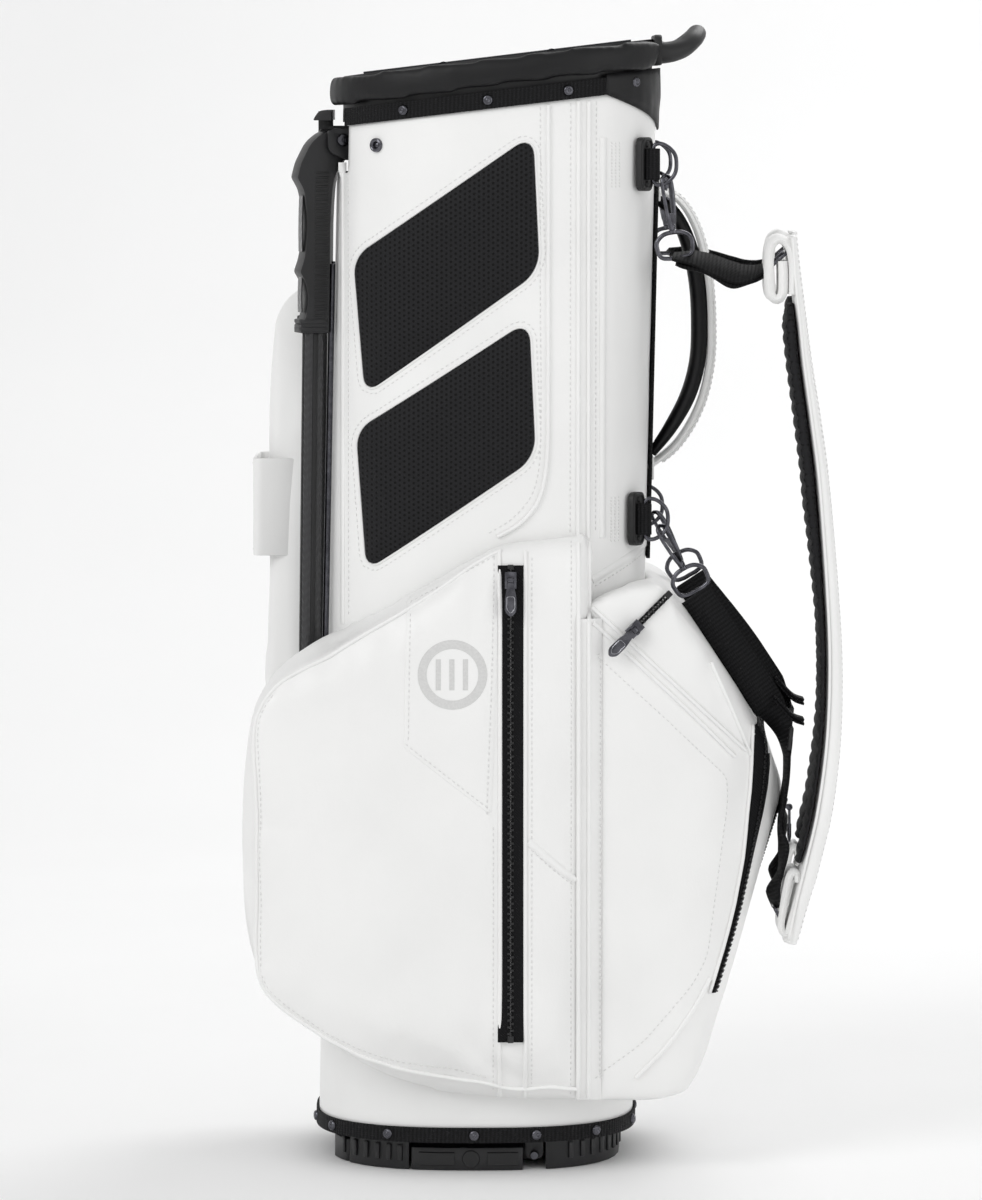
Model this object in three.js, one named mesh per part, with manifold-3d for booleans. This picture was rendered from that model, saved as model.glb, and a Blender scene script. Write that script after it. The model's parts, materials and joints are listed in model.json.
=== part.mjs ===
// A golf stand bag: an oval fabric tube between a moulded base and a divided cuff, with two fold-out legs,
// zipped pockets, a grab handle and a pair of carry straps.
// Millimetres. +Z is up, +X is the carry-strap side, -X is the leg side, and the origin is the middle of the
// base on the floor. Paired pieces are built on the -Y ("near") side and mirrored to the +Y ("far") side.
import * as THREE from "three";
import { mergeVertices } from "three/addons/utils/BufferGeometryUtils.js";
import Module from "manifold-3d";

const wasm = await Module();
wasm.setup();

// ---- driving dimensions ----
const GAP = 0.4; // clearance between pieces that rest on each other
const HALF_LENGTH = 126; // the tube's half size along X
const HALF_DEPTH = 112; // and along Y
const ROUNDNESS = 2.6; // exponent of the tube's superellipse section
const SECTION_POINTS = 40;
const LEAN = 18 / 850; // the tube's lean towards +X for each mm of height
const WALL = 2.5; // backed fabric of the tube
const FABRIC_Z = 30; // lower edge of the fabric
const TOP_Z = 838; // upper edge of the fabric on the centre line
const TOP_X = LEAN * TOP_Z;
const TOP_TILT = 0.12; // the mouth rises towards the strap side
const BASE_FLOOR_Z = 36; // underside of the base's floor
const FLOOR_THICK = 5;
const SKIRT_TOP = 46; // the base's skirt stands inside the fabric up to here
const BASE_INSET = 10; // the feet stand in from the tube's outline
const PLATE_AXIS = { x: 47, z: 11 }; // hinge of the foot plate
const PLATE_RANGE_X = [-112, 38];
const PLATE_Z = [0, 18];
const ROD_FOOT = { x: -104, y: -34, z: 13 }; // where a push rod stands in the foot plate
const ROD_RADIUS = 2.5;
const ROD_TOP_Z = 712;
const LEG_PIN = { x: -108, y: -32, z: 809.6 };
const LEG_SPLAY = THREE.MathUtils.degToRad(16); // each leg's swing plane turns out by this
const LEG_LEAN = 0.014; // a folded leg leans a little less than the tube
const LEG_PIN_RADIUS = 3;
const LEG_END = -684; // the foot's tip below the pin
const TUBE_TOP = -152.4;
const TUBE_END = -650;
const NEAR_FACE = { top: 138, bottom: 160 }; // depth of the side pockets' flat faces from the middle
const CHANNEL = 64; // the side pockets keep this far from the middle, which leaves the legs their channel
const ZIP_X = 28; // the long zips' place along X
const BALL = { x: 90, length: 158, depth: 130, roundness: 3 }; // plan of the ball pocket
const RING_AXIS = { x: 121.9, y: -72.6 }; // the D-rings' straight bars lie on one line, at this place at Z 0
const RING_Z = [513, 791]; // middles of the lower and upper D-rings
const STRAP_WIDTH = 50;
const WEBBING_WIDTH = 25;

// ---- small tools ----
const material = (color, roughness, metalness = 0) =>
  new THREE.MeshStandardMaterial({ color, roughness, metalness });
const WHITE_LEATHER = material(0xf1f1f1, 0.5);
const BLACK_PLASTIC = material(0x1b1b1c, 0.45);
const BLACK_WEBBING = material(0x161616, 0.9);
const BLACK_MESH = material(0x1c1c1c, 0.75);
const BLACK_PADDING = material(0x222223, 0.6);
const CARBON = material(0x202022, 0.3);
const RUBBER = material(0x101010, 0.85);
const GUNMETAL = material(0x55565a, 0.25, 1);
const ALUMINIUM = material(0xb0b2b5, 0.35, 1);

/** A closed geometry as a manifold solid. */
function solid(geometry) {
  const plain = geometry.index ? geometry.toNonIndexed() : geometry.clone();
  for (const name of Object.keys(plain.attributes)) {
    if (name !== "position") plain.deleteAttribute(name);
  }
  const merged = mergeVertices(plain, 1e-3);
  const mesh = new wasm.Mesh({
    numProp: 3,
    vertProperties: merged.attributes.position.array,
    triVerts: new Uint32Array(merged.index.array),
  });
  mesh.merge();
  return new wasm.Manifold(mesh);
}

function geometryOf(made) {
  const mesh = made.getMesh();
  return new THREE.BufferGeometry()
    .setAttribute("position", new THREE.BufferAttribute(mesh.vertProperties, 3))
    .setIndex(new THREE.BufferAttribute(mesh.triVerts, 1));
}

const join = (...geometries) => geometryOf(geometries.map(solid).reduce((a, b) => a.add(b)));
const cut = (body, ...tools) => geometryOf(tools.map(solid).reduce((a, b) => a.subtract(b), solid(body)));
const common = (...geometries) => geometryOf(geometries.map(solid).reduce((a, b) => a.intersect(b)));

/** A closed outline through corners [a, b, radius], each rounded by its radius where the edges leave room. */
function outline(corners) {
  const shape = new THREE.Shape();
  corners.forEach(([a, b, wanted = 0], i) => {
    const corner = new THREE.Vector2(a, b);
    const before = new THREE.Vector2(...corners.at(i - 1).slice(0, 2)).sub(corner);
    const after = new THREE.Vector2(...corners[(i + 1) % corners.length].slice(0, 2)).sub(corner);
    const radius = Math.min(wanted, 0.45 * before.length(), 0.45 * after.length());
    before.setLength(radius).add(corner);
    after.setLength(radius).add(corner);
    if (i === 0) shape.moveTo(before.x, before.y);
    else shape.lineTo(before.x, before.y);
    if (radius) shape.quadraticCurveTo(corner.x, corner.y, after.x, after.y);
  });
  shape.closePath();
  return shape;
}

/** Rectangle outline between two corners. */
const rectangle = (a0, b0, a1, b1, radius = 0) =>
  outline([[a0, b0, radius], [a1, b0, radius], [a1, b1, radius], [a0, b1, radius]]);

const extrude = (shape, depth, curveSegments = 4) =>
  new THREE.ExtrudeGeometry(shape, { depth, bevelEnabled: false, curveSegments });
/** An outline in X and Y, raised from z0 to z1. */
const raised = (shape, z0, z1) => extrude(shape, z1 - z0).translate(0, 0, z0);
/** An outline in X and Z, carried from y0 to y1. */
const across = (shape, y0, y1) => extrude(shape, y1 - y0).rotateX(Math.PI / 2).translate(0, y1, 0);
/** An outline in Y and Z, carried from x0 to x1. */
const along = (shape, x0, x1) =>
  extrude(shape, x1 - x0)
    .applyMatrix4(new THREE.Matrix4().set(0, 0, 1, x0, 1, 0, 0, 0, 0, 1, 0, 0, 0, 0, 0, 1));
const box = (x0, x1, y0, y1, z0, z1) =>
  new THREE.BoxGeometry(x1 - x0, y1 - y0, z1 - z0).translate((x0 + x1) / 2, (y0 + y1) / 2, (z0 + z1) / 2);
/** A cylinder along Y, its middle at (x, y, z). */
const rodAlongY = (radius, length, x, y, z, sides = 16) =>
  new THREE.CylinderGeometry(radius, radius, length, sides).translate(x, y, z);
const rodAlongX = (radius, length, x, y, z, sides = 12) =>
  new THREE.CylinderGeometry(radius, radius, length, sides).rotateZ(Math.PI / 2).translate(x, y, z);
const vectors = (points) => points.map((p) => new THREE.Vector3(...p));

/** A round bar along a smooth curve through points. */
function bar(points, radius, steps, sides = 8, closed = false) {
  const curve = new THREE.CatmullRomCurve3(vectors(points), closed);
  const section = new THREE.Shape().absarc(0, 0, radius, 0, 2 * Math.PI);
  return new THREE.ExtrudeGeometry(section, {
    steps, bevelEnabled: false, extrudePath: curve, curveSegments: sides / 2,
  });
}

/** The superellipse plan of the tube, grown outwards by offset. */
function tubePlan(offset) {
  const points = [];
  for (let i = 0; i < SECTION_POINTS; i += 1) {
    const angle = (2 * Math.PI * i) / SECTION_POINTS;
    const power = (v) => Math.sign(v) * Math.abs(v) ** (2 / ROUNDNESS);
    points.push(new THREE.Vector2(
      (HALF_LENGTH + offset) * power(Math.cos(angle)),
      (HALF_DEPTH + offset) * power(Math.sin(angle)),
    ));
  }
  return points;
}

/** A length of the tube's form from z0 to z1; inner is the bore's offset, and tilted ends follow the mouth. */
function tube(z0, z1, outer, inner = null, tilted = [false, false]) {
  const shape = new THREE.Shape(tubePlan(outer));
  if (inner !== null) shape.holes.push(new THREE.Path(tubePlan(inner)));
  const geometry = raised(shape, z0, z1);
  const place = geometry.getAttribute("position");
  for (let i = 0; i < place.count; i += 1) {
    const atTop = place.getZ(i) > (z0 + z1) / 2;
    const x = place.getX(i) + LEAN * place.getZ(i);
    const rise = tilted[atTop ? 1 : 0] ? TOP_TILT * (x - TOP_X) : 0;
    place.setX(i, x);
    place.setZ(i, place.getZ(i) + rise);
  }
  return geometry;
}

const bag = new THREE.Group();
function add(name, geometry, finish, parent = bag) {
  const mesh = new THREE.Mesh(geometry, finish);
  mesh.name = name;
  parent.add(mesh);
  return mesh;
}
const sides = ["near", "far"].map((name) => {
  const group = new THREE.Group();
  group.scale.y = name === "near" ? 1 : -1;
  bag.add(group);
  return { name, group };
});
const addPair = (name, geometry, finish) =>
  sides.forEach((side) => add(`${side.name}_${name}`, geometry, finish, side.group));

// ---- moulded base ----
function baseShell() {
  const skirt = tube(FABRIC_Z - 6, SKIRT_TOP, -WALL - GAP, -WALL - GAP - 3);
  const floor = tube(BASE_FLOOR_Z, BASE_FLOOR_Z + FLOOR_THICK, -WALL - GAP - 2);
  const footPlan = tube(0, BASE_FLOOR_Z + 2, -BASE_INSET);
  const rearFoot = common(footPlan, box(56, 200, -200, 200, -1, 90));
  const cornerFoot = (y0, y1) => common(footPlan, box(-200, -52, y0, y1, -1, 90));
  const lug = (y) => across(outline([[40, 38], [54, 38], [54, 8, 5], [40, 8, 5]]), y - 4, y + 4);
  const shell = join(skirt, floor, rearFoot, cornerFoot(-200, -66), cornerFoot(66, 200), lug(-90), lug(90));
  const pinHole = rodAlongY(3 + GAP, 240, PLATE_AXIS.x, 0, PLATE_AXIS.z);
  const rodHole = (y) =>
    new THREE.CylinderGeometry(7, 7, 30, 12).rotateX(Math.PI / 2).translate(ROD_FOOT.x, y, 40);
  return cut(shell, pinHole, rodHole(ROD_FOOT.y), rodHole(-ROD_FOOT.y));
}

function footPlate() {
  const plan = common(tube(PLATE_Z[0], PLATE_Z[1], -BASE_INSET), box(...PLATE_RANGE_X, -200, 200, 0, 60));
  const knuckle = rodAlongY(8, 150, PLATE_AXIS.x, 0, PLATE_AXIS.z);
  const web = box(30, 44, -75, 75, 4, 17);
  const clear = (y0, y1) => box(-200, -50, y0, y1, -1, 60);
  const well = (y) =>
    new THREE.CylinderGeometry(4.5, 4.5, 20, 12).rotateX(Math.PI / 2).translate(ROD_FOOT.x, y, 20);
  return cut(
    join(plan, knuckle, web),
    clear(-200, -62),
    clear(62, 200),
    rodAlongY(3 + GAP, 240, PLATE_AXIS.x, 0, PLATE_AXIS.z),
    well(ROD_FOOT.y),
    well(-ROD_FOOT.y),
  );
}

add("base_shell", baseShell(), BLACK_PLASTIC);
add("foot_plate", footPlate(), BLACK_PLASTIC);
add("foot_plate_pin", rodAlongY(3, 196, PLATE_AXIS.x, 0, PLATE_AXIS.z), GUNMETAL);
add("base_band", tube(FABRIC_Z - 6, FABRIC_Z + 6, GAP + 2, GAP), BLACK_WEBBING);

// ---- fabric tube, stays and cuff ----
const NOTCH = { x: -95, y: 60, z: 784 }; // the tube is cut away here for the leg bracket
function bodyShell() {
  const notch = box(-200, NOTCH.x, -NOTCH.y, NOTCH.y, NOTCH.z, 900);
  const rodSlot = (y) => box(-160, -90, y - 14, y + 10, 140, 312);
  return cut(
    tube(FABRIC_Z, TOP_Z, 0, -WALL, [false, true]),
    notch,
    rodSlot(ROD_FOOT.y),
    rodSlot(-ROD_FOOT.y + 4),
  );
}
add("body_shell", bodyShell(), WHITE_LEATHER);

const STAY = { x: 8, y: -101.5, bottom: BASE_FLOOR_Z + FLOOR_THICK + GAP, top: TOP_Z - 4 };
const stay = bar(
  [[STAY.x, STAY.y, STAY.bottom], [STAY.x + LEAN * (STAY.top - STAY.bottom), STAY.y, STAY.top]], 4, 1, 6,
);
addPair("stay", stay, ALUMINIUM);

const CUFF = { outer: -WALL - GAP - 0.6, inner: -11, rise: 36 };
/** Moulded cuff with one long divider and two cross dividers. */
function dividerCuff() {
  const ring = tube(TOP_Z, TOP_Z + CUFF.rise, CUFF.outer, CUFF.inner, [true, true]);
  const field = tube(TOP_Z + 8, TOP_Z + CUFF.rise - 3, CUFF.inner + 2, null, [true, true]);
  const bars = [
    common(field, box(-200, 200, -2.5, 2.5, 700, 950)),
    ...[-24, 60].map((x) => common(field, box(x - 2.5, x + 2.5, -200, 200, 700, 950))),
  ];
  return join(ring, ...bars);
}
add("divider_cuff", dividerCuff(), BLACK_PLASTIC);

const cuffGap = (x0, x1, half) => box(x0, x1, -half, half, 700, 990);
add(
  "cuff_band",
  cut(tube(TOP_Z - 2, TOP_Z + 11, GAP + 2, GAP, [true, true]), cuffGap(-200, NOTCH.x, NOTCH.y)),
  BLACK_WEBBING,
);
add(
  "cuff_pad",
  cut(tube(TOP_Z + 12, TOP_Z + 37, 7, CUFF.outer + GAP, [true, true]), cuffGap(130, 300, 54)),
  BLACK_PADDING,
);

/** Loop handle that stands out of the cuff on the strap side. */
function liftHandle() {
  const rootX = 134.5;
  const loop = bar(
    [
      [rootX, -42, 880], [150, -42, 878], [162, -36, 881], [171, -24, 888],
      [175, 0, 893], [171, 24, 888], [162, 36, 881], [150, 42, 878], [rootX, 42, 880],
    ],
    9, 24, 10,
  );
  const root = across(outline([[141, 867], [147, 867], [147, 893, 3], [141, 893, 3]]), -52, 52);
  const keep = box(141, 300, -100, 100, 700, 990);
  return common(join(loop, root), keep);
}
add("lift_handle", liftHandle(), BLACK_PLASTIC);

// ---- legs, their bracket and the push rods ----
/** The legs' own frame: origin on the pin, Y along the pin, -X outwards. */
function legFrame(geometry) {
  const place = new THREE.Matrix4().makeRotationFromEuler(new THREE.Euler(0, LEG_LEAN, LEG_SPLAY, "ZYX"));
  place.setPosition(LEG_PIN.x, LEG_PIN.y, LEG_PIN.z);
  return geometry.clone().applyMatrix4(place);
}

const CASTING_HALF = 11;
const CASTING_OUTLINE = [
  [-4, 8, 3], [-14, 6, 4], [-24, -2, 6], [-32, -18, 4], [-35, -30, 2], [-29, -40, 6], [-26, -66, 14],
  [-28, -92, 6], [-32, -104, 2], [-27, -112, 6], [-25, -126, 10], [-27, -140, 4], [-31, -146, 1],
  [-31, -152, 0], [-8, -152, 0], [-8, -60, 20], [-6, -30, 10], [6, -8, 4],
];
const leg = {
  casting: cut(
    join(
      across(outline(CASTING_OUTLINE), -CASTING_HALF, CASTING_HALF),
      rodAlongY(9, 2 * CASTING_HALF, 0, 0, 0, 20),
    ),
    rodAlongY(LEG_PIN_RADIUS + GAP, 60, 0, 0, 0, 12),
  ),
  tube: raised(rectangle(-26, -7, -10, 7, 5), TUBE_END, TUBE_TOP),
  foot: across(
    outline([[-28, TUBE_END - 0.5, 2], [-31, -672, 6], [-26, LEG_END, 6], [-10, LEG_END + 6, 6], [-8, TUBE_END - 0.5, 2]]),
    -10, 10,
  ),
  pin: rodAlongY(LEG_PIN_RADIUS, 36, 0, 0, 0, 12),
};
addPair("leg_casting", legFrame(leg.casting), BLACK_PLASTIC);
addPair("leg_tube", legFrame(leg.tube), CARBON);
addPair("leg_foot", legFrame(leg.foot), RUBBER);
addPair("leg_pin", legFrame(leg.pin), GUNMETAL);

/** Wall behind the legs' heads, with two ears for each pin and a hood over them. */
function legBracket() {
  const wall = box(-94, -88, -59, 59, 786, 820.5);
  const earOutline = outline([[-12, -9, 6], [-12, 8, 4], [24, 10], [24, -16, 2], [4, -16, 6]]);
  const ear = (y0) => {
    const made = legFrame(across(earOutline, y0, y0 + 4));
    return common(made, box(-140, -88.5, -58, 58, 780, 820.5));
  };
  const ears = [ear(CASTING_HALF + 1), ear(-CASTING_HALF - 5)];
  const mirrored = ears.map((e) => {
    const copy = e.toNonIndexed().applyMatrix4(new THREE.Matrix4().makeScale(1, -1, 1));
    const place = copy.getAttribute("position");
    for (let i = 0; i < place.count; i += 3) {
      const [first, last] = [0, 2].map((k) => new THREE.Vector3().fromBufferAttribute(place, i + k));
      place.setXYZ(i, last.x, last.y, last.z);
      place.setXYZ(i + 2, first.x, first.y, first.z);
    }
    return copy;
  });
  const web = box(-116, -88.5, -9, 9, 800, 820.5);
  const hoodWeb = box(-124, -112.5, -6, 6, 806, 832);
  const hood = across(outline([[-127, 825, 2], [-112.5, 825], [-112.5, 833], [-122, 833, 4]]), -56, 56);
  const pinHole = (mirror) => {
    const hole = legFrame(rodAlongY(LEG_PIN_RADIUS + GAP, 60, 0, 0, 0, 12));
    return mirror ? hole.applyMatrix4(new THREE.Matrix4().makeRotationX(Math.PI).setPosition(0, 0, 2 * LEG_PIN.z)) : hole;
  };
  return cut(join(wall, ...ears, ...mirrored, web, hoodWeb, hood), pinHole(false), pinHole(true));
}
add("leg_bracket", legBracket(), BLACK_PLASTIC);

const bodyLeft = (z) => -HALF_LENGTH + LEAN * z;
const ROD_OFFSET = 1.5;
const rod = bar(
  [
    [ROD_FOOT.x, ROD_FOOT.y, ROD_FOOT.z],
    [ROD_FOOT.x + 1, ROD_FOOT.y, 90],
    [ROD_FOOT.x + 1, ROD_FOOT.y, 160],
    [(ROD_FOOT.x + bodyLeft(230)) / 2 - 2, ROD_FOOT.y, 215],
    [bodyLeft(270) - ROD_OFFSET, ROD_FOOT.y, 270],
    [bodyLeft(340) - ROD_OFFSET, ROD_FOOT.y, 340],
    [bodyLeft(520) - ROD_OFFSET, ROD_FOOT.y, 520],
    [bodyLeft(ROD_TOP_Z) - ROD_OFFSET, ROD_FOOT.y, ROD_TOP_Z],
  ],
  ROD_RADIUS, 28, 6,
);
addPair("push_rod", rod, GUNMETAL);

// ---- pockets ----
const clearOfTube = () => tube(0, 900, GAP);
/** A side pocket: its outline seen from the side, cut to a flat leaning face, hollowed to fit the tube. */
function sidePocket(corners, top, faceTop) {
  const depth = across(outline(corners), -200, -CHANNEL);
  const face = along(
    outline([
      [-40, 50], [-125, 50, 10], [-NEAR_FACE.bottom, 100, 30], [-faceTop, top - 14, 14], [-112, top + 8], [-40, top + 8],
    ]),
    -220, 120,
  );
  const plan = raised(outline([[-200, -40], [-200, -200], [20, -200], [48, -172, 10], [89.5, -132, 6], [89.5, -40]]), 40, 900);
  return cut(common(depth, common(face, plan)), clearOfTube());
}
const LOWER_CORNERS = [[-178, 150, 30], [-100, 92, 30], [-30, 62, 30], [89.5, 60]];
const nearPocket = sidePocket(
  [...LOWER_CORNERS, [89.5, 505], [18, 497, 10], [-158, 398, 24], [-178, 366, 20]], 505, NEAR_FACE.top,
);
const farPocket = sidePocket(
  [...LOWER_CORNERS, [89.5, 696, 10], [-140, 696, 30], [-164, 670, 40], [-172, 500, 60]], 700, NEAR_FACE.top,
);
add("near_pocket", nearPocket, WHITE_LEATHER);
add("far_pocket", farPocket, WHITE_LEATHER, sides[1].group);

/** Plan of the ball pocket: half a superellipse on the strap side. */
function ballPlan() {
  const points = [];
  const count = 20;
  for (let i = 0; i <= count; i += 1) {
    const angle = Math.PI * (i / count - 0.5);
    const power = (v) => Math.sign(v) * Math.abs(v) ** (2 / BALL.roundness);
    points.push(new THREE.Vector2(BALL.x + BALL.length * power(Math.cos(angle)), BALL.depth * power(Math.sin(angle))));
  }
  return new THREE.Shape(points);
}
const BALL_CORNERS = [
  [80, 60], [168, 60, 14], [186, 118, 20], [247, 308, 20], [209, 370, 30], [167, 434, 30], [142, 470, 12], [80, 450],
];
add(
  "ball_pocket",
  cut(common(across(outline(BALL_CORNERS), -160, 160), raised(ballPlan(), 40, 520)), clearOfTube()),
  WHITE_LEATHER,
);

// ---- loop round the tall pocket, and the hip pads ----
const BAND_Z = [473, 552];
function pocketLoop() {
  const outer = rectangle(-180, -154, -40, -CHANNEL + GAP + 2, 8); // the leg swings past its inner side
  const inner = rectangle(-177, -151, -20, -CHANNEL + GAP, 5);
  const ring = raised(outer, ...BAND_Z);
  return cut(ring, raised(inner, BAND_Z[0] - 1, BAND_Z[1] + 1), box(-116, 0, -200, 0, 400, 600));
}
add("pocket_loop", pocketLoop(), WHITE_LEATHER, sides[1].group);

/** A pad that lies on the tube's near side, from its outline seen from the side. */
const hipPad = (corners) =>
  common(across(outline(corners), -140, -20), tube(300, 840, 6.5, GAP));
add("hip_pad_upper", hipPad([[-85, 613, 12], [-94, 718, 14], [45, 814, 16], [50, 709, 16]]), BLACK_MESH);
add("hip_pad_lower", hipPad([[-84, 475, 12], [-92, 583, 14], [42, 670, 16], [47, 564, 16]]), BLACK_MESH);

// ---- zips ----
/** A zip's own frame: origin on the tape's middle line at the top, -Z down the tape, -Y out of the surface. */
const TAPE = 1.6; // thickness
const SLIDER = { length: 13, width: 9, height: 4.5, barRise: 3.2 }; // the bar stands above the slider's body
const SLIDER_BAR = { y: -TAPE / 2 - GAP - SLIDER.height - SLIDER.barRise, z: -6 };
const zipParts = {
  slider: (() => {
    const y0 = -TAPE / 2 - GAP;
    const body = box(-SLIDER.width / 2, SLIDER.width / 2, y0 - SLIDER.height, y0, -SLIDER.length, 0);
    const post = (x) => box(x - 1, x + 1, SLIDER_BAR.y - 1, y0 - 1, SLIDER_BAR.z - 1.5, SLIDER_BAR.z + 1.5);
    const crossBar = rodAlongX(1, SLIDER.width, 0, SLIDER_BAR.y, SLIDER_BAR.z, 8);
    return join(body, post(-3.5), post(3.5), crossBar);
  })(),
  puller: (() => {
    const eye = rodAlongX(2.6, 4, 0, SLIDER_BAR.y, SLIDER_BAR.z, 12);
    const plate = across(
      outline([[-1.9, -7], [-4.5, -20, 3], [-4.5, -31, 3], [0, -35, 2], [4.5, -31, 3], [4.5, -20, 3], [1.9, -7]]),
      SLIDER_BAR.y - 1, SLIDER_BAR.y + 1,
    );
    return cut(join(eye, plate), rodAlongX(1.5, 20, 0, SLIDER_BAR.y, SLIDER_BAR.z, 12));
  })(),
};
/**
 * Adds one zip: top and bottom are the ends of its middle line, and out is the way its face looks.
 * hang turns the puller away from an overhanging face, so that it hangs straight down.
 */
function addZip(name, top, bottom, out, width, { parent = bag, hang = 0 } = {}) {
  const start = new THREE.Vector3(...top);
  const up = start.clone().sub(new THREE.Vector3(...bottom));
  const length = up.length();
  up.normalize();
  const inward = new THREE.Vector3(...out).negate();
  inward.addScaledVector(up, -inward.dot(up)).normalize();
  const frame = new THREE.Group();
  frame.setRotationFromMatrix(new THREE.Matrix4().makeBasis(inward.clone().cross(up), inward, up));
  frame.position.copy(start).addScaledVector(inward, -TAPE / 2 - GAP);
  parent.add(frame);
  add(`${name}_zip_tape`, box(-width / 2, width / 2, -TAPE / 2, TAPE / 2, -length, 0), BLACK_WEBBING, frame);
  add(`${name}_zip_slider`, zipParts.slider.clone().translate(0, 0, -5), GUNMETAL, frame);
  const puller = zipParts.puller.clone()
    .translate(0, -SLIDER_BAR.y, -SLIDER_BAR.z).rotateX(-hang).translate(0, SLIDER_BAR.y, SLIDER_BAR.z - 5);
  add(`${name}_zip_puller`, puller, GUNMETAL, frame);
}
const faceY = (z, top) =>
  -NEAR_FACE.bottom + ((NEAR_FACE.bottom - NEAR_FACE.top) * (z - 100)) / (top - 14 - 100);
const faceOut = (top) => [0, -1, -(NEAR_FACE.bottom - NEAR_FACE.top) / (top - 114)];
addZip("near", [ZIP_X, faceY(482, 505), 482], [ZIP_X, faceY(112, 505), 112], faceOut(505), 20);
addZip("far", [ZIP_X, faceY(672, 700), 672], [ZIP_X, faceY(112, 700), 112], faceOut(700), 20, { parent: sides[1].group });
addZip("ball", [243.1, -52, 296], [192.7, -52, 139], [190, 0, -61], 16, { hang: Math.atan2(61, 190) });
addZip("valuables", [116, -130.5, 424], [152, -128.1, 460], [0.06, -1, 0], 9, { hang: Math.PI });

// ---- grab handle ----
const GRAB = { top: 756, bottom: 560, reach: 56, width: 32 };
function grabHandle() {
  const wallX = (z) => HALF_LENGTH + LEAN * z + 0.6;
  const outer = [
    [wallX(GRAB.top), GRAB.top], [wallX(GRAB.top) + 4, GRAB.top + 8, 4], [wallX(720) + 40, 722, 30],
    [wallX(660) + GRAB.reach, 660, 50], [wallX(600) + 30, 598, 30], [wallX(GRAB.bottom) + 4, GRAB.bottom - 8, 4],
    [wallX(GRAB.bottom), GRAB.bottom], [wallX(590) + 4, 582, 6], [wallX(620) + 24, 616, 20],
    [wallX(660) + GRAB.reach - 26, 660, 30], [wallX(700) + 22, 704, 20], [wallX(740) + 4, 736, 6],
  ];
  return across(outline(outer), -GRAB.width / 2, GRAB.width / 2);
}
add("grab_handle", grabHandle(), WHITE_LEATHER);

// ---- strap anchors ----
const TAB_TURN = THREE.MathUtils.degToRad(-28.8); // the tabs face the way the tube's wall does
const TAB_REACH = 10.5; // from the tube's wall to the ring's bar
/** A moulded tab with its webbing loop; its frame has X out of the wall and the ring's bar on the Z axis. */
function ringTab(z) {
  const plate = along(rectangle(-10, -21, 10, 21, 7), -TAB_REACH + 1.2, -TAB_REACH + 6.2);
  const loopShape = outline([[-TAB_REACH + 4, -3.4], [1, -3.4, 3], [5.4, 0, 3], [1, 3.4, 3], [-TAB_REACH + 4, 3.4]]);
  loopShape.holes.push(new THREE.Path().absarc(1.2, 0, 2.1, 0, 2 * Math.PI, true));
  const made = join(plate, raised(loopShape, -12, 12));
  return made.rotateZ(TAB_TURN).translate(RING_AXIS.x + LEAN * z, RING_AXIS.y, z);
}
const BAR_SHIFT = 1.2; // the bar's axis in the tab's frame
const ringBar = (z) => [
  RING_AXIS.x + LEAN * z + BAR_SHIFT * Math.cos(TAB_TURN), RING_AXIS.y + BAR_SHIFT * Math.sin(TAB_TURN), z,
];
function dRing(z) {
  const [x, y] = ringBar(z);
  const half = 16;
  const points = [
    [0, 0, -half + 3], [0, 0, 0], [0, 0, half - 3], [3, 0, half], [10, 0, half - 1.5], [16.5, 0, 8], [18, 0, 0],
    [16.5, 0, -8], [10, 0, -half + 1.5], [3, 0, -half],
  ];
  return bar(points, 1.5, 28, 6, true).translate(x, y, z);
}

/** A snap hook with its swivel eye: origin on the ring's wire that it holds, -Z towards the eye. */
function snapHook(length) {
  const hook = bar(
    [[0, 2, -9], [0, 5, -4], [0, 4.6, 2], [0, 0, 5.4], [0, -4.6, 2], [0, -5, -4], [0, -2, -9]], 1.7, 14, 6,
  );
  const shank = across(
    outline([[-5, -6, 2], [5, -6, 2], [3.2, -length, 2], [-3.2, -length, 2]]), -3, 3,
  );
  const eyeTop = -length - 1;
  const eye = bar(
    [
      [0, 0, eyeTop], [8, 0, eyeTop - 2], [14, 0, eyeTop - 9], [13, 0, eyeTop - 17], [7, 0, eyeTop - 20], [0, 0, eyeTop - 20],
      [-7, 0, eyeTop - 20], [-13, 0, eyeTop - 17], [-14, 0, eyeTop - 9], [-8, 0, eyeTop - 2],
    ],
    1.6, 24, 6, true,
  );
  const swivel = new THREE.CylinderGeometry(3, 3, 6, 10).rotateX(Math.PI / 2).translate(0, 0, -length + 1);
  return join(hook, shank, swivel, eye);
}
const hookTurn = (degrees) => new THREE.Matrix4().makeRotationY(THREE.MathUtils.degToRad(degrees));

/** A flat strip through points in X and Z, thick in that plane and carried across Y from y0 to y1. */
function strip(points, thick, y0, y1) {
  const curve = new THREE.SplineCurve(points.map((p) => new THREE.Vector2(...p)));
  const count = 6 * (points.length - 1);
  const left = [];
  const right = [];
  for (let i = 0; i <= count; i += 1) {
    const p = curve.getPoint(i / count);
    const normal = curve.getTangent(i / count).rotateAround(new THREE.Vector2(), Math.PI / 2);
    left.push(p.clone().addScaledVector(normal, thick / 2));
    right.unshift(p.clone().addScaledVector(normal, -thick / 2));
  }
  return across(new THREE.Shape([...left, ...right]), y0, y1);
}

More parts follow.
